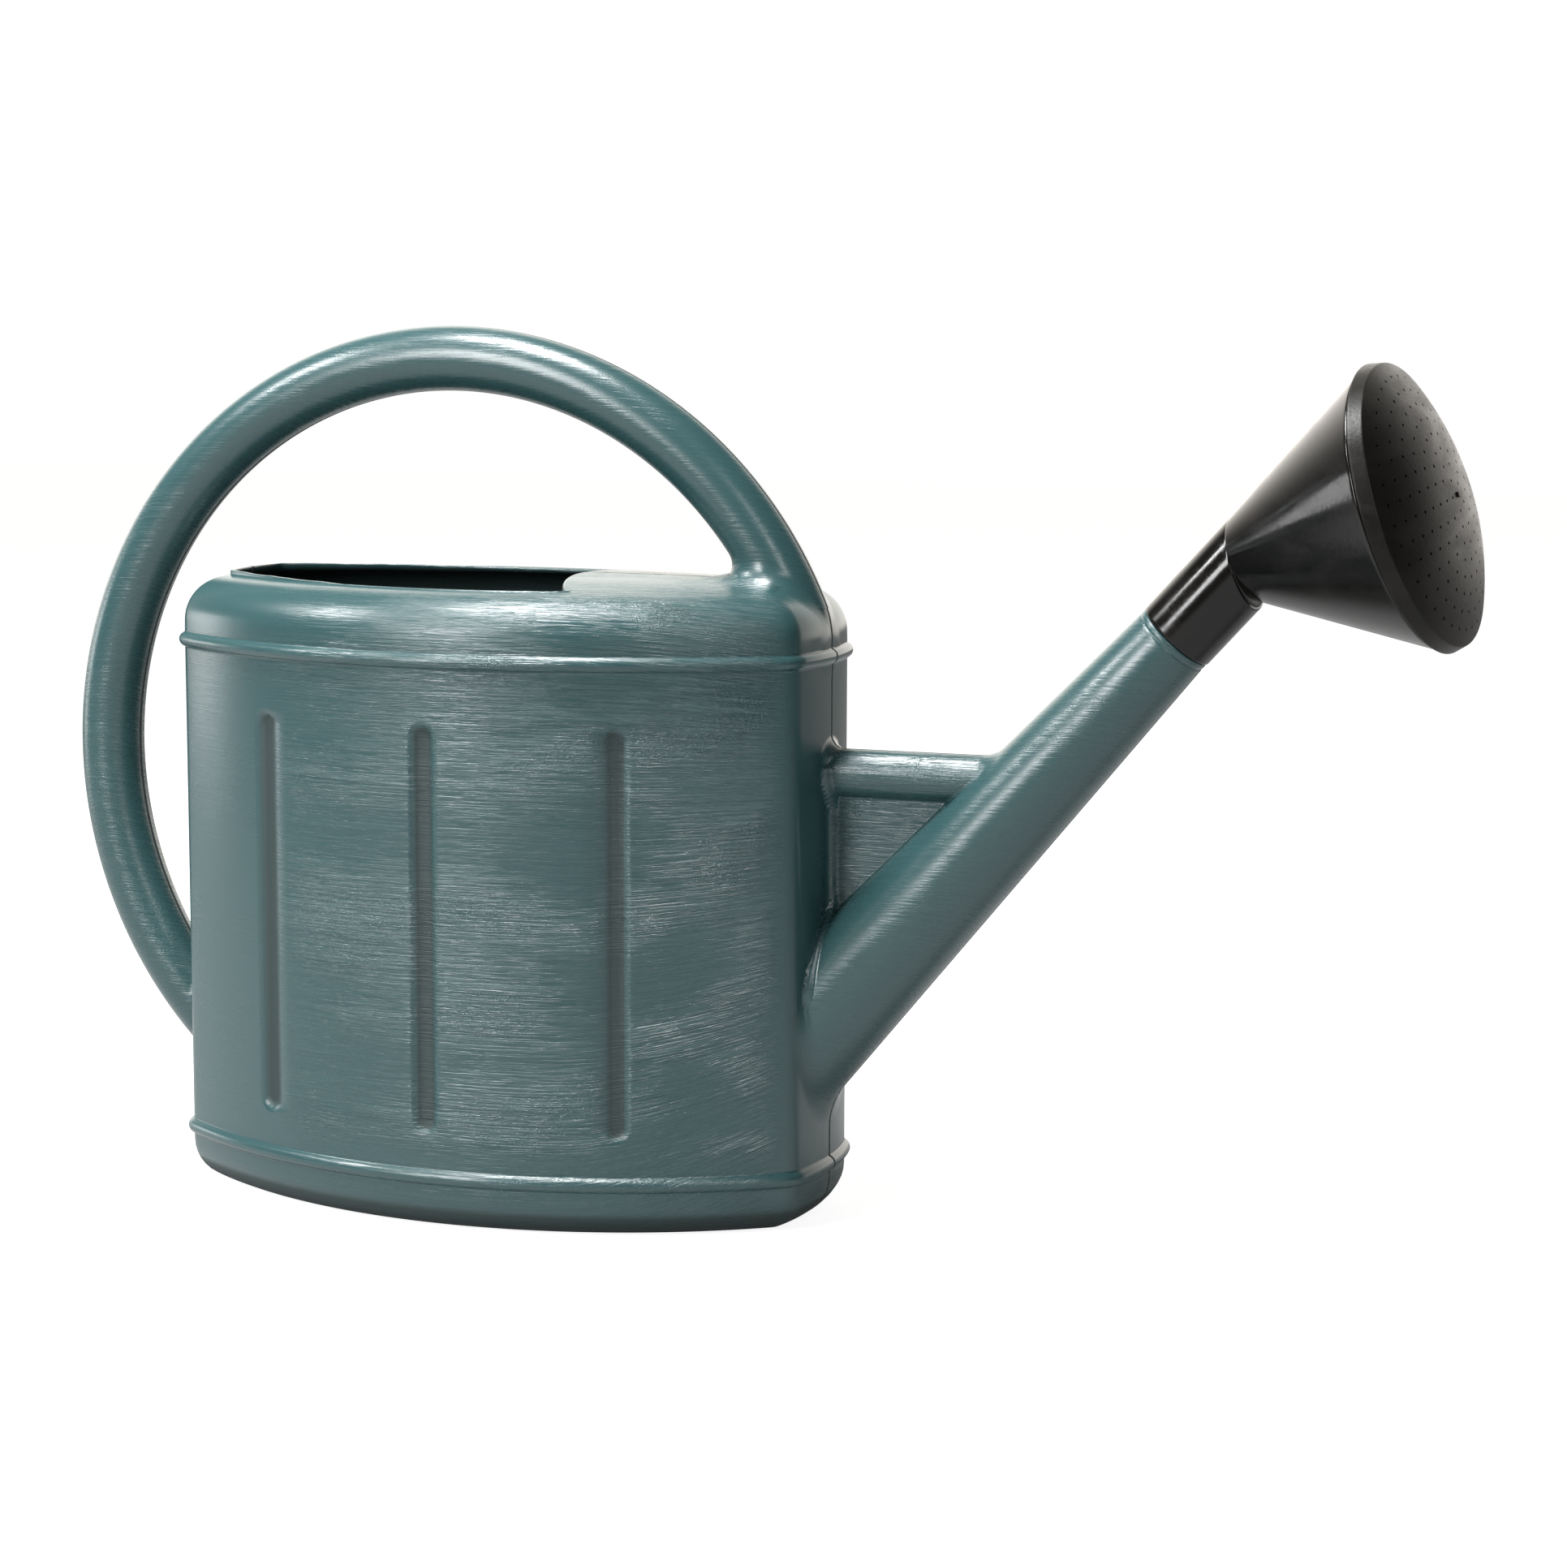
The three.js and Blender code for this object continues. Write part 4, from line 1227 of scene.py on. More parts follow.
    def web_skin(self) -> bpy.types.Object:
        """Makes the flat web: rings of its two faces, one above another, from its foot into the strut.

        Returns:
            The piece.
        """
        strut, tank, spout = self.form.strut, self.form.tank, self.form.spout
        foot = spout.root_height + spout.root_radius / math.cos(spout.rise) + strut.web_foot
        z = np.linspace(foot, strut.level - strut.web_top_sink, strut.web_rows)
        start = tank.length / 2 - strut.web_skin_sink
        above = z - spout.root_height
        radius = spout.radius_at(above / math.sin(spout.rise) * strut.web_taper_part) - strut.web_skin_sink
        end = tank.length / 2 + (above * math.cos(spout.rise) - radius) / math.sin(spout.rise)
        part = graded(0, 1, strut.row_part, {0.0: strut.tank_rows, 1.0: strut.web_spout_rows})
        x = start + (np.maximum(end, start + strut.web_least) - start)[:, None] * part
        y = np.full_like(x, -strut.web_thickness / 2)
        near = np.stack([x, y, np.broadcast_to(z[:, None], x.shape)], -1)
        far = near[:, ::-1] * np.array([1, -1, 1])
        ring = np.concatenate([near, far], axis=1)
        points = ring.reshape(-1, 3).copy()
        normals = np.zeros_like(points)
        normals[:, 1] = np.sign(points[:, 1])
        moved, shading = self.form.settle(points, normals, "web", strut.web_reach)
        return add_skin("can_web_skin", Skin(moved.reshape(ring.shape)), shading)

    def draw(self, piece: bpy.types.Object, node: str, finish: "DrawnPolyethylene") -> None:
        """Writes a piece's attributes for its finish.

        "across" tells which drawn line a point is on, "drawing" how thick the lines lie, and "inside" is 1 on
        the tank's inside, where the finish darkens the colour as painted shade. Away from the tank, across is
        z + sway y.

        Args:
            piece: The piece.
            node: The node or web that it stands for.
            finish: The finish, which says how the lines run.
        """
        points = read(piece.data.vertices, "co", 3).astype(float)
        if node == "can_tank":
            values = self.tank_lines(points, finish)
        else:
            strength = np.full(len(points), self.line_strength.get(node, self.plain_strength))
            values = (strength, points[:, 2] + finish.sway * points[:, 1], np.zeros(len(points)))
        for name, value in zip(("drawing", "across", "inside"), values):
            made = piece.data.attributes.new(name, "FLOAT", "POINT")
            made.data.foreach_set("value", value.astype(np.float32))

    def tank_lines(self, points: Array, finish: "DrawnPolyethylene") -> tuple[Array, Array, Array]:
        """The tank's lines: on the sides, and fewer on the shoulder, near the base and at the rear.

        Across is the height as drawn, level + (z - level)(1 + bend (x - start)^2). On the deck a share of the
        inset from the side is added.

        Args:
            points: The tank's points.
            finish: The finish.

        Returns:
            How thick the lines lie, across, and what is inside, which the finish darkens as painted shade.
        """
        x, y, z = points.T
        tank = self.form.tank
        low = finish.base_strength
        along = smooth_step(*finish.rear_fade, x) * (1 - smooth_step(*finish.front_fade, x))
        strength = finish.rear_strength * (x < 0) + finish.side_strength * along
        strength *= low + (1 - low) * smooth_step(*finish.base_fade, z)
        strength *= (
            1
            + finish.corner_gain * smooth_step(*finish.corner_fade, x)
            - finish.shoulder_loss * smooth_step(*finish.shoulder_fade, z)
        )
        inset = tank.side_radius - np.hypot(x, np.abs(y) - tank.side_centre)
        pull = 1 + finish.bend * np.clip(x - finish.bend_start, 0, None) ** 2
        across = finish.bend_level + (z - finish.bend_level) * pull
        across += finish.deck_spread * np.clip(inset, 0, None) * smooth_step(*finish.deck_fade, z)
        return strength, across, smooth_step(*finish.inside_fade, -tank.distance(points))

    def build(self, finish: "DrawnPolyethylene") -> None:
        """Makes every skin, draws its lines and puts it on its body in place of its solid.

        Args:
            finish: The moulding's finish.
        """
        makers: dict[str, Callable[[], bpy.types.Object]] = {
            "can_tank": self.tank_skin,
            "can_handle": self.hoop_skin,
            "can_spout": self.spout_skin,
            "can_strut": self.strut_skin,
            "web": self.web_skin,
        }
        for node, make in makers.items():
            piece = make()
            self.draw(piece, node, finish)
            piece.data.materials.append(finish.material())
            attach(piece, self.body)
            if node != "web":
                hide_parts(node)
            report(piece)


# ---------- The rose ----------


def turn_about(axis: int, angle: float) -> Array:
    """The matrix of a right-handed turn about one of the main axes (0 X, 1 Y, 2 Z).

    Args:
        axis: The axis's number.
        angle: The angle in radians.

    Returns:
        The matrix, for columns.
    """
    c, s = math.cos(angle), math.sin(angle)
    first, second = (axis + 1) % 3, (axis + 2) % 3
    matrix = np.eye(3)
    matrix[first, first] = matrix[second, second] = c
    matrix[first, second], matrix[second, first] = -s, s
    return matrix


def rounding(corner: Pair, start: float, end: float, radius: float, steps: int) -> Profile:
    """A profile's rounded outer corner.

    Args:
        corner: Where the two straight flanks would meet, as (distance from the axis, height).
        start: Direction of the first flank's outward normal, in radians from the radial way towards +Z.
        end: Direction of the second flank's outward normal.
        radius: Radius of the rounding.
        steps: How many parts the arc has.

    Returns:
        The points of the arc.
    """
    middle, half = (start + end) / 2, (end - start) / 2
    centre_r = corner[0] - radius * math.cos(middle) / math.cos(half)
    centre_z = corner[1] - radius * math.sin(middle) / math.cos(half)
    angles = np.linspace(start, end, steps + 1)
    return [(centre_r + radius * math.cos(a), centre_z + radius * math.sin(a)) for a in angles]


def between(start: Pair, end: Pair, parts: tuple[float, ...]) -> Profile:
    """Points of a straight piece of profile at parts of its length."""
    return [(start[0] + (end[0] - start[0]) * p, start[1] + (end[1] - start[1]) * p) for p in parts]


@dataclass
class Rose:
    """The rose's place on the spout and the sizes of its two mouldings."""

    spout: Spout
    turn: float = math.radians(15)
    bend: float = math.radians(30.7)
    gap: float = 0.3 * MM
    wall: float = 1.6 * MM
    neck_radius: float = 17.65 * MM
    neck_length: float = 42.95 * MM
    cone_shift: float = 1.9 * MM
    cone_length: float = 74.3 * MM
    cone_small_radius: float = 18.2 * MM
    cone_large_radius: float = 60.2 * MM
    seat_radius: float = 58.4 * MM
    seat_length: float = 4.4 * MM
    plate_radius: float = 61.4 * MM
    plate_front_radius: float = 59.9 * MM
    skirt_length: float = 6.3 * MM
    dome_height: float = 14.3 * MM
    hole_radius: float = 0.68 * MM
    hole_rings: int = 8
    hole_spacing: float = 6.67 * MM
    holes_per_ring: int = 5
    nib: float = 2 * MM

    @property
    def dome_radius(self) -> float:
        """The radius of the plate's sphere."""
        return arc_radius(self.plate_front_radius, self.dome_height)

    def placed(self, points: Array) -> Array:
        """From the rose's own frame, +Z up its neck and +X where it bends to, to its place on the spout."""
        aim = turn_about(1, math.pi / 2 - self.spout.rise) @ turn_about(2, -self.turn)
        return points @ aim.T + self.spout.root + self.spout.axis * self.spout.length

    def bent(self, points: Array) -> Array:
        """From the cone's frame, +Z along its axis from its small end, to the rose's own frame."""
        moved = points - np.array([self.cone_shift, 0, 0])
        return moved @ turn_about(1, self.bend).T + np.array([0, 0, self.neck_length])


def rings(profile: Profile, turns: Array) -> Array:
    """Turns a profile of (distance from the axis, height) pairs about +Z.

    Args:
        profile: The pairs.
        turns: The angles from +X.

    Returns:
        The grid of points.
    """
    radius, height = np.array(profile).T
    x = radius[:, None] * np.cos(turns)
    y = radius[:, None] * np.sin(turns)
    return np.stack([x, y, np.broadcast_to(height[:, None], x.shape)], -1)


@dataclass
class RoseBody:
    """The rose's body: the neck over the spigot, mitred square to the cone, and the cone with its seat."""

    rose: Rose
    sides: int = 160
    edge: float = 0.45 * MM
    rim_edge: float = 0.9 * MM
    neck_parts: tuple[float, ...] = (0.02, 0.06, 0.15, 0.3, 0.45, 0.6, 0.75, 0.88, 0.95, 0.975)
    cone_parts: tuple[float, ...] = (0, 0.006, 0.03, 0.1, 0.2, 0.3, 0.4, 0.5, 0.6, 0.7, 0.8, 0.9, 0.96, 0.985)
    inner_cone_parts: tuple[float, ...] = (0.25, 0.5, 0.75, 1)
    inner_neck_parts: tuple[float, ...] = (1, 0.66, 0.33, 0)
    bore_edge: float = 0.6

    def neck(self, radius: float, behind: float, turns: Array, parts: tuple[float, ...]) -> Array:
        """Rows of the neck from its open end to a plane square to the cone, behind its small end.

        Args:
            radius: The rows' radius.
            behind: How far behind the small end the plane is.
            turns: The angles from +X.
            parts: Where the rows lie, from the open end as 0 to the plane as 1.

        Returns:
            The grid of points.
        """
        rose = self.rose
        top = rose.neck_length - (radius * np.cos(turns) * math.sin(rose.bend) + behind) / math.cos(rose.bend)
        low = rose.gap + self.edge
        z = low + (top - low) * np.array(parts)[:, None]
        x = np.broadcast_to(radius * np.cos(turns), z.shape)
        y = np.broadcast_to(radius * np.sin(turns), z.shape)
        return np.stack([x, y, z], -1)

    def grid(self) -> Array:
        """Lays out the rows: up the neck, over the ledge and the cone to the seat, and back inside.

        Returns:
            The grid of points.
        """
        rose = self.rose
        turns = ring_angles(self.sides)
        bore = rose.neck_radius - rose.wall
        mouth = [(bore + self.edge, rose.gap)]
        mouth += rounding((rose.neck_radius, rose.gap), -math.pi / 2, 0, self.edge, 4)
        neck = [self.neck(rose.neck_radius, 0, turns, self.neck_parts)]
        for angle in np.radians([0, 30, 60, 90]):
            inset, back = self.edge * (1 - math.cos(angle)), self.edge * (1 - math.sin(angle))
            neck.append(self.neck(rose.neck_radius - inset, back, turns, (1,)))
        slope = math.atan2(rose.cone_large_radius - rose.cone_small_radius, rose.cone_length)
        small, large = (rose.cone_small_radius, 0.0), (rose.cone_large_radius, rose.cone_length)
        rim = rounding(large, -slope, math.pi / 2, self.rim_edge, 7)
        flank = between(small, rim[0], self.cone_parts)
        seat_top = rose.cone_length + rose.seat_length
        seat = [(rose.seat_radius, rose.cone_length), (rose.seat_radius, seat_top - self.edge)]
        seat += rounding((rose.seat_radius, seat_top), 0, math.pi / 2, self.edge, 3)
        throat = rose.cone_small_radius - rose.wall / math.cos(slope)
        inner_mouth = rose.seat_radius - rose.wall
        inner_top = (inner_mouth - throat) / math.tan(slope)
        inside = [(inner_mouth, seat_top), (inner_mouth, inner_top)]
        inside += between((inner_mouth, inner_top), (throat, 0.0), self.inner_cone_parts)
        inside += [(throat, -rose.wall)]
        cone = rose.bent(rings(flank + rim + seat + inside, turns))
        back = self.neck(bore, rose.wall, turns, self.inner_neck_parts)
        end = rings([(bore, rose.gap + self.edge * self.bore_edge)], turns)
        return rose.placed(np.concatenate([rings(mouth, turns), *neck, cone, back, end]))

    def build(self) -> bpy.types.Object:
        """Makes the body's mesh object."""
        return add_skin("rose_body_skin", Skin(self.grid(), joined=True))


@dataclass
class RosePlate:
    """The rose's plate: a low dome with rings of holes, a skirt over the seat and the gate's nib."""

    rose: Rose
    sides: int = 128
    edge: float = 0.45 * MM
    front_edge: float = 1.3 * MM
    middle: float = 4 * MM
    dome_rows: int = 26
    inner_dome_rows: int = 12
    dome_start: float = 0.5 * MM
    hole_sides: int = 12
    gate_edge: float = 0.15 * MM
    gate_taper: float = 0.92
    near_dome: float = 0.05 * MM
    facing: float = 0.9

    def dome(self, distances: Array, inset: float) -> Profile:
        """Points of the dome's profile at distances from the axis, an inset below its outside."""
        rose = self.rose
        height = np.sqrt((rose.dome_radius - inset) ** 2 - distances**2) - rose.dome_radius + rose.dome_height
        return list(zip(distances.tolist(), (rose.skirt_length + height).tolist()))

    def grid(self) -> Array:
        """Lays out the rows: from the middle below out to the skirt, round its end and over the dome.

        Returns:
            The grid of points.
        """
        rose = self.rose
        bore = rose.seat_radius + rose.gap
        under = self.dome(np.linspace(self.middle, bore - self.edge, self.inner_dome_rows), rose.wall)
        under += [(bore, under[-1][1] - self.edge), (bore, self.edge)]
        lean = math.atan2(rose.plate_radius - rose.plate_front_radius, rose.skirt_length)
        steep = math.pi / 2 - math.asin(rose.plate_front_radius / rose.dome_radius)
        foot = rounding((rose.plate_radius, 0), -math.pi / 2, lean, self.edge, 4)
        front = rounding((rose.plate_front_radius, rose.skirt_length), lean, steep, self.front_edge, 7)
        skirt = between(foot[-1], front[0], (0.1, 0.5, 0.9))
        over = self.dome(np.linspace(front[-1][0] - self.dome_start, self.middle, self.dome_rows), 0)
        profile = under + [(bore + self.edge, 0.0)] + foot + skirt + front + over
        return rings(profile, ring_angles(self.sides))

    def pins(self) -> Array:
        """Places of the holes in the plate's frame: rings with a few more holes in each.

        Returns:
            The holes' middles, as rows.
        """
        rose = self.rose
        places = []
        for ring in range(1, rose.hole_rings + 1):
            count = rose.holes_per_ring * ring
            angle = CIRCLE * np.arange(count) / count
            away = rose.hole_spacing * ring
            height = np.full_like(angle, self.dome(np.array([away]), rose.wall / 2)[0][1])
            places.append(np.stack([away * np.cos(angle), away * np.sin(angle), height], -1))
        return np.concatenate(places)

    def cutter(self) -> bpy.types.Object:
        """Makes one mesh of all the pins that pierce the plate.

        Returns:
            The tool that cuts them.
        """
        half = 2 * self.rose.wall
        ends = [(self.rose.hole_radius, -half), (self.rose.hole_radius, half)]
        pin = rings(ends, ring_angles(self.hole_sides))
        vertices, quads, triangles = [], [], []
        for place in self.pins():
            skin = Skin(pin + place)
            sides, fans = skin.faces()
            base = sum(len(part) for part in vertices)
            vertices.append(skin.vertices())
            quads.append(sides + base)
            triangles.append(fans + base)
        return add_mesh("pins", np.concatenate(vertices), np.concatenate(quads), np.concatenate(triangles))

    def gate(self) -> bpy.types.Object:
        """Makes the square stub that the gate left in the middle.

        Returns:
            The stub.
        """
        half, top = self.rose.nib / 2, self.rose.skirt_length + self.rose.dome_height
        corner = half * math.sqrt(2)
        low, high = top - self.rose.wall / 2, top + self.rose.wall / 2
        profile = [(corner, low), (corner, high - self.gate_edge), (corner * self.gate_taper, high)]
        return add_skin("gate", Skin(rings(profile, np.radians([45, 135, 225, 315]))))

    def build(self) -> bpy.types.Object:
        """Makes the plate with its holes, shades it along its true sphere and puts it at its place.

        Returns:
            The piece.
        """
        plate = add_skin("rose_plate_skin", Skin(self.grid()))
        tools = {"UNION": self.gate(), "DIFFERENCE": self.cutter()}
        for operation, tool in tools.items():
            cut = plate.modifiers.new(operation, "BOOLEAN")
            cut.operation, cut.object, cut.solver = operation, tool, "EXACT"
        shaped = bpy.data.meshes.new_from_object(plate.evaluated_get(bpy.context.evaluated_depsgraph_get()))
        plate.modifiers.clear()
        old, plate.data = plate.data, shaped
        bpy.data.meshes.remove(old)
        for tool in tools.values():
            data = tool.data
            bpy.data.objects.remove(tool)
            bpy.data.meshes.remove(data)
        shaped.name = plate.name
        self.finish_mesh(shaped)
        return plate

    def finish_mesh(self, mesh: bpy.types.Mesh) -> None:
        """Moves the mesh to its place and gives the dome's faces the sphere's own directions.

        Args:
            mesh: The pierced plate in the plate's frame.
        """
        rose = self.rose
        points = read(mesh.vertices, "co", 3).astype(float)
        corners = read(mesh.loops, "vertex_index", kind=np.int32)
        sizes = read(mesh.polygons, "loop_total", kind=np.int32)
        flats = np.repeat(read(mesh.polygons, "normal", 3), sizes, axis=0)
        away = points[corners] - np.array([0, 0, rose.skirt_length + rose.dome_height - rose.dome_radius])
        ball = unit(away)
        off = np.linalg.norm(away, axis=1) - rose.dome_radius
        alike = (flats * ball).sum(1)
        outside = (np.abs(off) < self.near_dome) & (alike > self.facing)
        inside = (np.abs(off + rose.wall) < self.near_dome) & (alike < -self.facing)
        from_axis = np.hypot(*points[corners, :2].T)
        pierced = from_axis < (rose.hole_rings + 0.5) * rose.hole_spacing
        shading = np.where(outside[:, None], ball, np.where(inside[:, None], -ball, 0))
        shading = np.where((pierced & ~outside & ~inside)[:, None], flats, shading)
        turned = rose.placed(rose.bent(shading)) - rose.placed(rose.bent(np.zeros((1, 3))))
        moved = rose.placed(rose.bent(points + np.array([0, 0, rose.cone_length + rose.gap])))
        mesh.vertices.foreach_set("co", moved.astype(np.float32).ravel())
        mesh.polygons.foreach_set("use_smooth", np.ones(len(mesh.polygons), bool))
        mesh.update()
        mesh.normals_split_custom_set(turned.tolist())


# ---------- Finishes ----------


class Wiring:
    """Short ways to lay nodes into one tree."""

    def __init__(self, tree: bpy.types.NodeTree) -> None:
        """Keeps the tree."""
        self.tree = tree

    def fill(self, socket: Socket, value: object) -> None:
        """Links a socket to another, or sets its own value.

        Args:
            socket: The socket.
            value: What goes into it.
        """
        if isinstance(value, Socket):
            self.tree.links.new(value, socket)
        else:
            socket.default_value = value

    def node(
        self, kind: str, inputs: dict[str | int, object] | None = None, **settings: object
    ) -> bpy.types.Node:
        """Adds a node.

        Args:
            kind: The node's type, without "ShaderNode".
            inputs: What goes into its sockets.
            settings: Its other settings.

        Returns:
            The node.
        """
        made = self.tree.nodes.new(f"ShaderNode{kind}")
        for name, value in settings.items():
            setattr(made, name, value)
        for name, value in (inputs or {}).items():
            self.fill(made.inputs[name], value)
        return made

    def math(self, operation: str, *values: object, clamp: bool = False) -> Socket:
        """Adds a Math node and gives its result."""
        made = self.node("Math", dict(enumerate(values)), operation=operation, use_clamp=clamp)
        return made.outputs[0]

    def times(self, a: object, b: object, clamp: bool = False) -> Socket:
        """One value times another."""
        return self.math("MULTIPLY", a, b, clamp=clamp)

    def plus(self, a: object, b: object, clamp: bool = False) -> Socket:
        """One value and another together."""
        return self.math("ADD", a, b, clamp=clamp)

    def weighed(self, *terms: tuple[object, object]) -> Socket:
        """The sum of some values, each times its weight."""
        total: object = 0.0
        for value, weight in terms:
            total = self.plus(total, self.times(value, weight))
        return total

    def attribute(self, name: str) -> Socket:
        """Reads one of the mesh's attributes."""
        return self.node("Attribute", attribute_name=name).outputs["Fac"]

    def ramp(self, value: object, low: float, high: float, start: float = 0.0, end: float = 1.0) -> Socket:
        """Goes smoothly from start to end while value goes from low to high."""
        inputs = {"Value": value, "From Min": low, "From Max": high, "To Min": start, "To Max": end}
        return self.node("MapRange", inputs, interpolation_type="SMOOTHSTEP").outputs["Result"]

    def noise(self, place: object, scale: Point, detail: float = 2.0, distortion: float = 0.0) -> Socket:
        """Adds noise with its own number of grains a metre along each axis."""
        stretched = self.node("VectorMath", {0: place, 1: scale}, operation="MULTIPLY").outputs[0]
        inputs = {"Vector": stretched, "Scale": 1.0, "Detail": detail, "Distortion": distortion}
        return self.node("TexNoise", inputs).outputs["Fac"]

    def ridge(self, value: object, middle: float, width: float) -> Socket:
        """Is 1 where value is at the middle, and falls to 0 a width away."""
        off = self.math("ABSOLUTE", self.math("SUBTRACT", value, middle))
        return self.math("SUBTRACT", 1.0, self.math("DIVIDE", off, width), clamp=True)

    def mix(self, factor: object, a: object, b: object) -> Socket:
        """Mixes two colours.

        Args:
            factor: How much of the second.
            a: The first.
            b: The second.

        Returns:
            The mixed colour.
        """
        made = self.node("Mix", data_type="RGBA")
        for name, value in (("Factor_Float", factor), ("A_Color", a), ("B_Color", b)):
            self.fill(next(socket for socket in made.inputs if socket.identifier == name), value)
        return next(socket for socket in made.outputs if socket.identifier == "Result_Color")


def new_material(name: str) -> tuple[bpy.types.Material, Wiring, bpy.types.Node, Socket]:
    """Starts a material.

    Args:
        name: Its name.

    Returns:
        The material, its wiring, its shader and the object's coordinates.
    """
    made = bpy.data.materials.new(name)
    made.use_nodes = True
    wiring = Wiring(made.node_tree)
    return made, wiring, made.node_tree.nodes["Principled BSDF"], wiring.node("TexCoord").outputs["Object"]


def set_bump(wiring: Wiring, shader: bpy.types.Node, depth: float, height: Socket) -> None:
    """Gives a shader a relief of some depth."""
    bump = wiring.node("Bump", {"Strength": 1.0, "Distance": depth, "Height": height})
    wiring.fill(shader.inputs["Normal"], bump.outputs[0])


@dataclass(frozen=True)
class Drawing:
    """What the can's finish is made from: noises of lines and clouds, and where lines and the seam lie."""

    fine: Socket
    long: Socket
    threads: Socket
    cloud: Socket
    strength: Socket
    seam: Socket
    inside: Socket


@dataclass(frozen=True)
class DrawnPolyethylene:
    """Satin petrol-green polyethylene of a blown moulding, with fine lines drawn along it.

    The lines run along x and close in on one level towards the tank's front. The mesh says which line a point
    is on and how thick they lie. They show as fine ridges in the gloss, a few as darker threads, and a few as
    pale threads whose colour is a painted highlight.
    The mould's parting line is a thin groove round the middle of the can, shown as a dark line by painted
    shade in its colour.
    """

    name: str = "can_polyethylene"
    colour: Colour = (0.025, 0.066, 0.070, 1)
    # Colour of the pale threads: a painted highlight streak.
    pale: Colour = (0.052, 0.105, 0.108, 1)
    deep: Colour = (0.020, 0.058, 0.063, 1)
    # Painted shade: the colour of the parting line's groove and of the tank's inside.
    painted_shade_colour: Colour = (0.008, 0.020, 0.020, 1)
    roughness: float = 0.27
    shine: float = 0.65
    fine: Pair = (42.0, 1150.0)
    long: Pair = (9.0, 430.0)
    line_detail: float = 3
    cloud: Point = (9.0, 30.0, 30.0)
    peel: Point = (330.0, 330.0, 330.0)
    peel_distortion: float = 0.6
    bend_start: float = 50 * MM
    bend_level: float = 196 * MM
    bend: float = 21.0
    sway: float = 0.35
    # Where the lines lie on the tank, and how thick.
    rear_fade: Pair = (-92 * MM, -58 * MM)
    front_fade: Pair = (134 * MM, 146 * MM)
    base_fade: Pair = (34 * MM, 44 * MM)
    corner_fade: Pair = (84 * MM, 96 * MM)
    shoulder_fade: Pair = (255 * MM, 262 * MM)
    deck_fade: Pair = (256 * MM, 262 * MM)
    inside_fade: Pair = (1 * MM, 1.8 * MM)
    rear_strength: float = 0.08
    side_strength: float = 1.12
    base_strength: float = 0.3
    corner_gain: float = 0.5
    shoulder_loss: float = 0.5
    deck_spread: float = 0.8
    # The relief: its depth, noise levels of its forms, and how high each rises in parts of the depth.
    depth: float = 0.42 * MM
    cloud_fade: Pair = (0.36, 0.62)
    cloud_strength: Pair = (0.35, 1.35)
    threads: Pair = (0.5, 0.05)
    crests: Pair = (0.56, 0.06)
    crinkles: Pair = (0.5, 0.08)
    crinkle_fade: Pair = (0.52, 0.66)
    fine_rise: float = 0.9
    long_rise: float = 0.7
    thread_rise: float = 0.16
    crest_rise: float = 0.14
    crinkle_rise: float = 0.2
    peel_rise: float = 0.05
    seam_rise: float = -1.3
    mark_rise: float = 0.4
    # Colour and gloss: how much of each form shows.
    deep_fade: Pair = (0.4, 0.65)
    deep_share: float = 0.8
    # How much of a thread's colour turns to the painted highlight.
    thread_highlight_share: float = 0.5
    seam_fade: float = 0.4
    seam_shade_share: float = 0.9
    # The tank's inside: its colour darkened as painted shade, and its gloss duller.
    inside_shade_share: float = 0.85
    line_fade: Pair = (0.3, 0.7)
    line_roughness: Pair = (-0.04, 0.06)
    seam_roughness: float = 0.9
    inside_roughness: float = 0.5
    dull_roughness: float = 0.7
    seam_width: float = 1.1 * MM
    mark_radius: float = 2.75 * MM
    mark_width: float = 0.45 * MM
    vent_marks: tuple[Point, ...] = (
        (-0.0500, -0.0125, 0.3619),
        (0.0775, -0.0125, 0.3622),
        (0.1423, -0.0190, 0.3210),
        (0.0868, -0.083, 0.2121),
    )

    def drawing(self, wiring: Wiring, place: Socket) -> Drawing:
        """Lays the noises along the drawn lines, and reads how thick they lie.

        Args:
            wiring: The material's tree.
            place: The object's coordinates.

        Returns:
            What the finish is made from.
        """
        parts = wiring.node("SeparateXYZ", {0: place}).outputs
        drawn = wiring.node("CombineXYZ", {"X": parts["X"], "Y": wiring.attribute("across")}).outputs[0]
        long = wiring.noise(drawn, (*self.long, 0.0), self.line_detail)
        cloud = wiring.noise(place, self.cloud)
        clouded = wiring.ramp(cloud, *self.cloud_fade, *self.cloud_strength)
        return Drawing(
            fine=wiring.noise(drawn, (*self.fine, 0.0), self.line_detail),
            long=long,
            threads=wiring.ridge(long, *self.threads),
            cloud=cloud,
            strength=wiring.times(wiring.attribute("drawing"), clouded),
            seam=wiring.ridge(parts["Y"], 0.0, self.seam_width),
            inside=wiring.attribute("inside"),
        )

    def marks(self, wiring: Wiring, place: Socket) -> Socket:
        """The rings that the mould's vent plugs leave on one side.

        Args:
            wiring: The material's tree.
            place: The object's coordinates.

        Returns:
            1 on the rings' lines, falling to 0 beside them.
        """
        total: object = 0.0
        for mark in self.vent_marks:
            away = wiring.node("VectorMath", {0: place, 1: mark}, operation="DISTANCE").outputs["Value"]
            total = wiring.plus(total, wiring.ridge(away, self.mark_radius, self.mark_width))
        return total

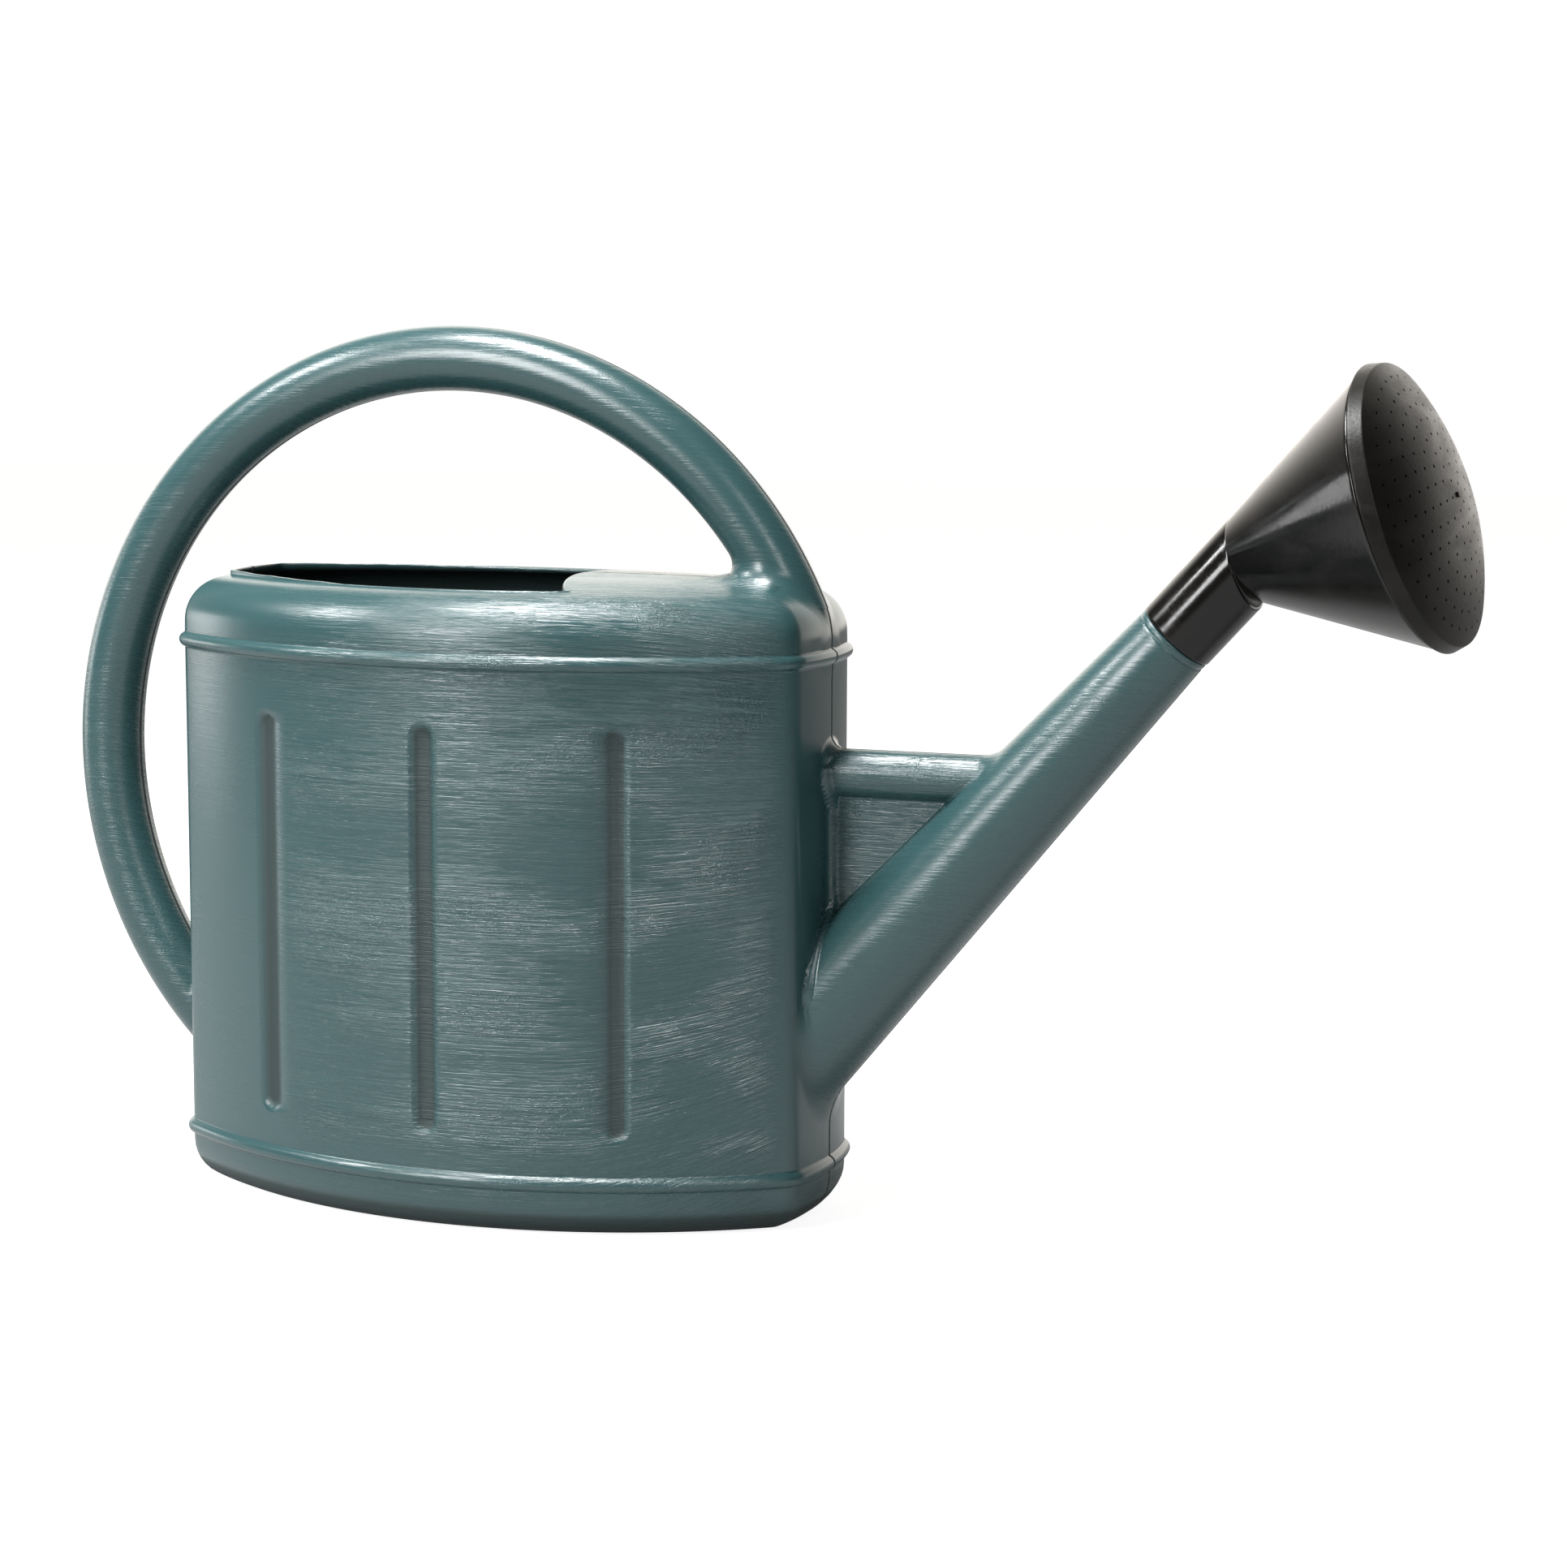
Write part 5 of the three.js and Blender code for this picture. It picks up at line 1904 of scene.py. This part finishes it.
    def relief(self, wiring: Wiring, place: Socket, drawing: Drawing) -> Socket:
        """The height of the lines, the skin's crinkles, the parting line and the vent marks.

        Args:
            wiring: The material's tree.
            place: The object's coordinates.
            drawing: What the finish is made from.

        Returns:
            The height, in parts of the depth.
        """
        peel = wiring.noise(place, self.peel, distortion=self.peel_distortion)
        crests = wiring.ridge(drawing.fine, *self.crests)
        lines = wiring.weighed(
            (drawing.fine, self.fine_rise),
            (drawing.long, self.long_rise),
            (drawing.threads, self.thread_rise),
            (crests, self.crest_rise),
        )
        crinkled = wiring.ramp(drawing.cloud, *self.crinkle_fade, 0.0, self.crinkle_rise)
        crinkles = wiring.times(wiring.ridge(peel, *self.crinkles), crinkled)
        return wiring.weighed(
            (wiring.plus(lines, crinkles), drawing.strength),
            (peel, self.peel_rise),
            (drawing.seam, self.seam_rise),
            (self.marks(wiring, place), self.mark_rise),
        )

    def material(self) -> bpy.types.Material:
        """Makes the material, once.

        Returns:
            The material.
        """
        if self.name in bpy.data.materials:
            return bpy.data.materials[self.name]
        made, wiring, shader, place = new_material(self.name)
        shader.inputs["Specular IOR Level"].default_value = self.shine
        drawing = self.drawing(wiring, place)
        strength = drawing.strength
        set_bump(wiring, shader, self.depth, self.relief(wiring, place, drawing))
        toned = wiring.times(
            wiring.ramp(drawing.long, *self.deep_fade), wiring.times(strength, self.deep_share), clamp=True
        )
        body = wiring.mix(toned, self.colour, self.deep)
        # Pale threads: a painted highlight streak mixed into the colour.
        highlight_threads = wiring.times(wiring.times(drawing.threads, strength), self.thread_highlight_share, clamp=True)
        body = wiring.mix(highlight_threads, body, self.pale)
        # The tank's inside darkened towards the shade colour: painted shade.
        body = wiring.mix(wiring.times(drawing.inside, self.inside_shade_share), body, self.painted_shade_colour)
        # The parting line: its groove's shade is painted into the colour, and its gloss is duller.
        line = wiring.times(wiring.ramp(drawing.seam, 0.0, self.seam_fade), self.seam_shade_share)
        wiring.fill(shader.inputs["Base Color"], wiring.mix(line, body, self.painted_shade_colour))
        spread = wiring.ramp(drawing.fine, *self.line_fade, *self.line_roughness)
        spread = wiring.times(spread, wiring.math("MINIMUM", strength, 1.0))
        inside = wiring.times(drawing.inside, self.inside_roughness)
        dull = wiring.math("MAXIMUM", wiring.times(line, self.seam_roughness), inside)
        dull = wiring.times(dull, self.dull_roughness)
        rough = wiring.plus(wiring.plus(spread, self.roughness), dull, clamp=True)
        wiring.fill(shader.inputs["Roughness"], rough)
        return made


@dataclass(frozen=True)
class Shade:
    """What tells one black moulding from another."""

    name: str
    colour: Colour
    dust: Colour
    roughness: float
    depth: float
    shine: float


class Black(Enum):
    """The rose's two black mouldings."""

    GLOSS = Shade(
        name="rose_body_black",
        colour=(0.0036, 0.0033, 0.0030, 1),
        dust=(0.0085, 0.0074, 0.0064, 1),
        roughness=0.13,
        depth=0.012 * MM,
        shine=0.36,
    )
    SATIN = Shade(
        name="rose_plate_black",
        colour=(0.0062, 0.0056, 0.0048, 1),
        dust=(0.016, 0.014, 0.0113, 1),
        roughness=0.36,
        depth=0.05 * MM,
        shine=0.2,
    )


@dataclass(frozen=True)
class RoseBlack:
    """Black injection-moulded plastic with faint flow clouds, fine grain and a little dust."""

    kind: Black
    flow: Point = (22.0, 22.0, 60.0)
    flow_detail: float = 3
    flow_distortion: float = 0.8
    grain: Point = (650.0, 650.0, 650.0)
    specks: Point = (900.0, 900.0, 900.0)
    speck_detail: float = 1
    speck_fade: Pair = (0.66, 0.74)
    speck_share: float = 0.4
    dust_fade: Pair = (0.42, 0.68)
    dust_share: float = 0.5
    grain_part: float = 0.3
    flow_part: float = 0.7
    rough_fade: Pair = (0.35, 0.65)
    rough_spread: Pair = (0.03, 0.09)
    flow_rise: float = 2.0

    def material(self) -> bpy.types.Material:
        """Makes the material.

        Returns:
            The material.
        """
        shade = self.kind.value
        made, wiring, shader, place = new_material(shade.name)
        shader.inputs["Specular IOR Level"].default_value = shade.shine
        flow = wiring.noise(place, self.flow, self.flow_detail, self.flow_distortion)
        grain = wiring.noise(place, self.grain)
        specks = wiring.ramp(wiring.noise(place, self.specks, self.speck_detail), *self.speck_fade)
        dusty = wiring.ramp(flow, *self.dust_fade, 0.0, self.dust_share)
        lying = wiring.plus(dusty, wiring.times(specks, self.speck_share), clamp=True)
        wiring.fill(shader.inputs["Base Color"], wiring.mix(lying, shade.colour, shade.dust))
        uneven = wiring.math("MULTIPLY_ADD", grain, self.grain_part, wiring.times(flow, self.flow_part))
        less, more = self.rough_spread
        rough = wiring.ramp(uneven, *self.rough_fade, shade.roughness - less, shade.roughness + more)
        wiring.fill(shader.inputs["Roughness"], rough)
        set_bump(wiring, shader, shade.depth, wiring.math("MULTIPLY_ADD", flow, self.flow_rise, grain))
        return made


# ---------- Studio ----------


@dataclass(frozen=True)
class Lamp:
    """A soft rectangular lamp."""

    name: str
    place: Point
    aim: Point
    size: Pair
    power: float

    def add(self) -> None:
        """Hangs the lamp."""
        data = bpy.data.lights.new(self.name, "AREA")
        data.shape = "RECTANGLE"
        data.size, data.size_y = self.size
        data.energy = self.power
        lamp = bpy.data.objects.new(self.name, data)
        way = Vector(self.aim) - Vector(self.place)
        lamp.matrix_world = Matrix.Translation(self.place) @ way.to_track_quat("-Z", "Y").to_matrix().to_4x4()
        lamp.visible_camera = False
        bpy.context.scene.collection.objects.link(lamp)


@dataclass
class Studio:
    """The camera, the lamps, the pale floor and the white surroundings."""

    eye: Point = (0.66328, -1.46290, 0.40683)
    aim: Point = (0.13034, 0.0, 0.19372)
    roll: float = math.radians(-0.196)
    lens: float = 82.04
    sensor: float = 36
    floor_size: float = 6.0
    floor_tones: Pair = (0.40, 0.43)
    floor_grain: Point = (400.0, 400.0, 400.0)
    floor_grain_fade: Pair = (0.3, 0.7)
    floor_roughness: float = 0.9
    floor_specular: float = 0.1
    backdrop: Point = (-0.2, 0.9, -0.4)
    backdrop_fade: Pair = (0.2, 0.68)
    white: Colour = (1, 1, 1, 1)
    warm_white: Colour = (1.0, 0.955, 0.89, 1)
    front_level: float = 0.07
    back_level: float = 2.2
    soft_share: float = 0.38
    floor_lift: float = 0.89
    floor_shine: float = 0.1
    lamps: tuple[Lamp, ...] = (
        Lamp("main box", (-0.72, -1.72, 1.0), (0, 0, 0.15), (0.5, 0.85), 31),
        Lamp("side box", (-1.85, 0.08, 0.27), (0, 0, 0.2), (0.45, 0.5), 3.5),
        Lamp("right strip", (1.35, -1.5, 1.1), (0.1, 0, 0.15), (0.3, 1.3), 9),
        Lamp("top box", (-0.23, -0.24, 1.6), (-0.05, 0, 0.2), (0.5, 0.5), 42),
        Lamp("left box", (-1.3, -0.6, 1.42), (0.1, 0, 0.25), (0.36, 0.36), 17),
    )

    def camera(self) -> None:
        """Sets up the camera."""
        data = bpy.data.cameras.new("camera")
        data.lens = self.lens
        data.sensor_width = self.sensor
        data.sensor_fit = "HORIZONTAL"
        camera = bpy.data.objects.new("camera", data)
        way = Vector(self.aim) - Vector(self.eye)
        turn = way.to_track_quat("-Z", "Y").to_matrix().to_4x4()
        camera.matrix_world = Matrix.Translation(self.eye) @ turn @ Matrix.Rotation(-self.roll, 4, "Z")
        bpy.context.scene.collection.objects.link(camera)
        bpy.context.scene.camera = camera

    def surroundings(self) -> None:
        """Makes the world: bright behind the can and dimmer in front of it, and white to the camera."""
        world = bpy.data.worlds.new("surroundings")
        world.use_nodes = True
        bpy.context.scene.world = world
        wiring = Wiring(world.node_tree)
        path = wiring.node("LightPath").outputs
        way = wiring.node("TexCoord").outputs["Generated"]
        depth = wiring.node("VectorMath", {0: way, 1: self.backdrop}, operation="DOT_PRODUCT")
        depth = depth.outputs["Value"]
        level = wiring.ramp(depth, *self.backdrop_fade, self.front_level, self.back_level)
        seen = wiring.math("MAXIMUM", path["Is Camera Ray"], path["Is Transmission Ray"])
        softer = wiring.math("MULTIPLY_ADD", path["Is Diffuse Ray"], self.soft_share - 1, 1.0)
        unseen = wiring.times(wiring.times(level, softer), wiring.math("SUBTRACT", 1.0, seen))
        background = world.node_tree.nodes["Background"]
        wiring.fill(background.inputs["Color"], wiring.mix(seen, self.warm_white, self.white))
        wiring.fill(background.inputs["Strength"], wiring.plus(seen, unseen))

    def floor(self) -> None:
        """Makes the floor, near white, which the camera sees a little lifted."""
        half = self.floor_size
        mesh = bpy.data.meshes.new("floor")
        corners = [(-half, -half, 0), (half, -half, 0), (half, half, 0), (-half, half, 0)]
        mesh.from_pydata(corners, [], [(0, 1, 2, 3)])
        floor = bpy.data.objects.new("floor", mesh)
        made, wiring, shader, place = new_material("floor_paper")
        grain = wiring.ramp(wiring.noise(place, self.floor_grain), *self.floor_grain_fade)
        low, high = ((tone, tone, tone, 1) for tone in self.floor_tones)
        wiring.fill(shader.inputs["Base Color"], wiring.mix(grain, low, high))
        shader.inputs["Roughness"].default_value = self.floor_roughness
        shader.inputs["Specular IOR Level"].default_value = self.floor_specular
        shader.inputs["Emission Color"].default_value = self.white
        path = wiring.node("LightPath").outputs
        mirrored = wiring.math("MAXIMUM", path["Is Glossy Ray"], path["Is Transmission Ray"])
        shine = wiring.times(mirrored, self.floor_shine)
        lift = wiring.math("MULTIPLY_ADD", path["Is Camera Ray"], self.floor_lift, shine)
        wiring.fill(shader.inputs["Emission Strength"], lift)
        mesh.materials.append(made)
        bpy.context.scene.collection.objects.link(floor)

    def build(self) -> None:
        """Builds everything."""
        self.camera()
        for lamp in self.lamps:
            lamp.add()
        self.surroundings()
        self.floor()
        bpy.context.scene.view_settings.view_transform = "Standard"


def main() -> None:
    """Builds the studio and the can."""
    logging.basicConfig(level=logging.INFO, format="%(name)s: %(message)s")
    Studio().build()
    moulding = CanMoulding()
    moulding.build(DrawnPolyethylene())
    rose = Rose(moulding.form.spout)
    for body, node, piece, finish in (
        ("rose", "rose_body", RoseBody(rose).build(), RoseBlack(Black.GLOSS)),
        ("plate", "rose_plate", RosePlate(rose).build(), RoseBlack(Black.SATIN)),
    ):
        piece.data.materials.clear()
        piece.data.materials.append(finish.material())
        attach(piece, body)
        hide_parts(node)
        report(piece)


if __name__ == "__main__":
    main()
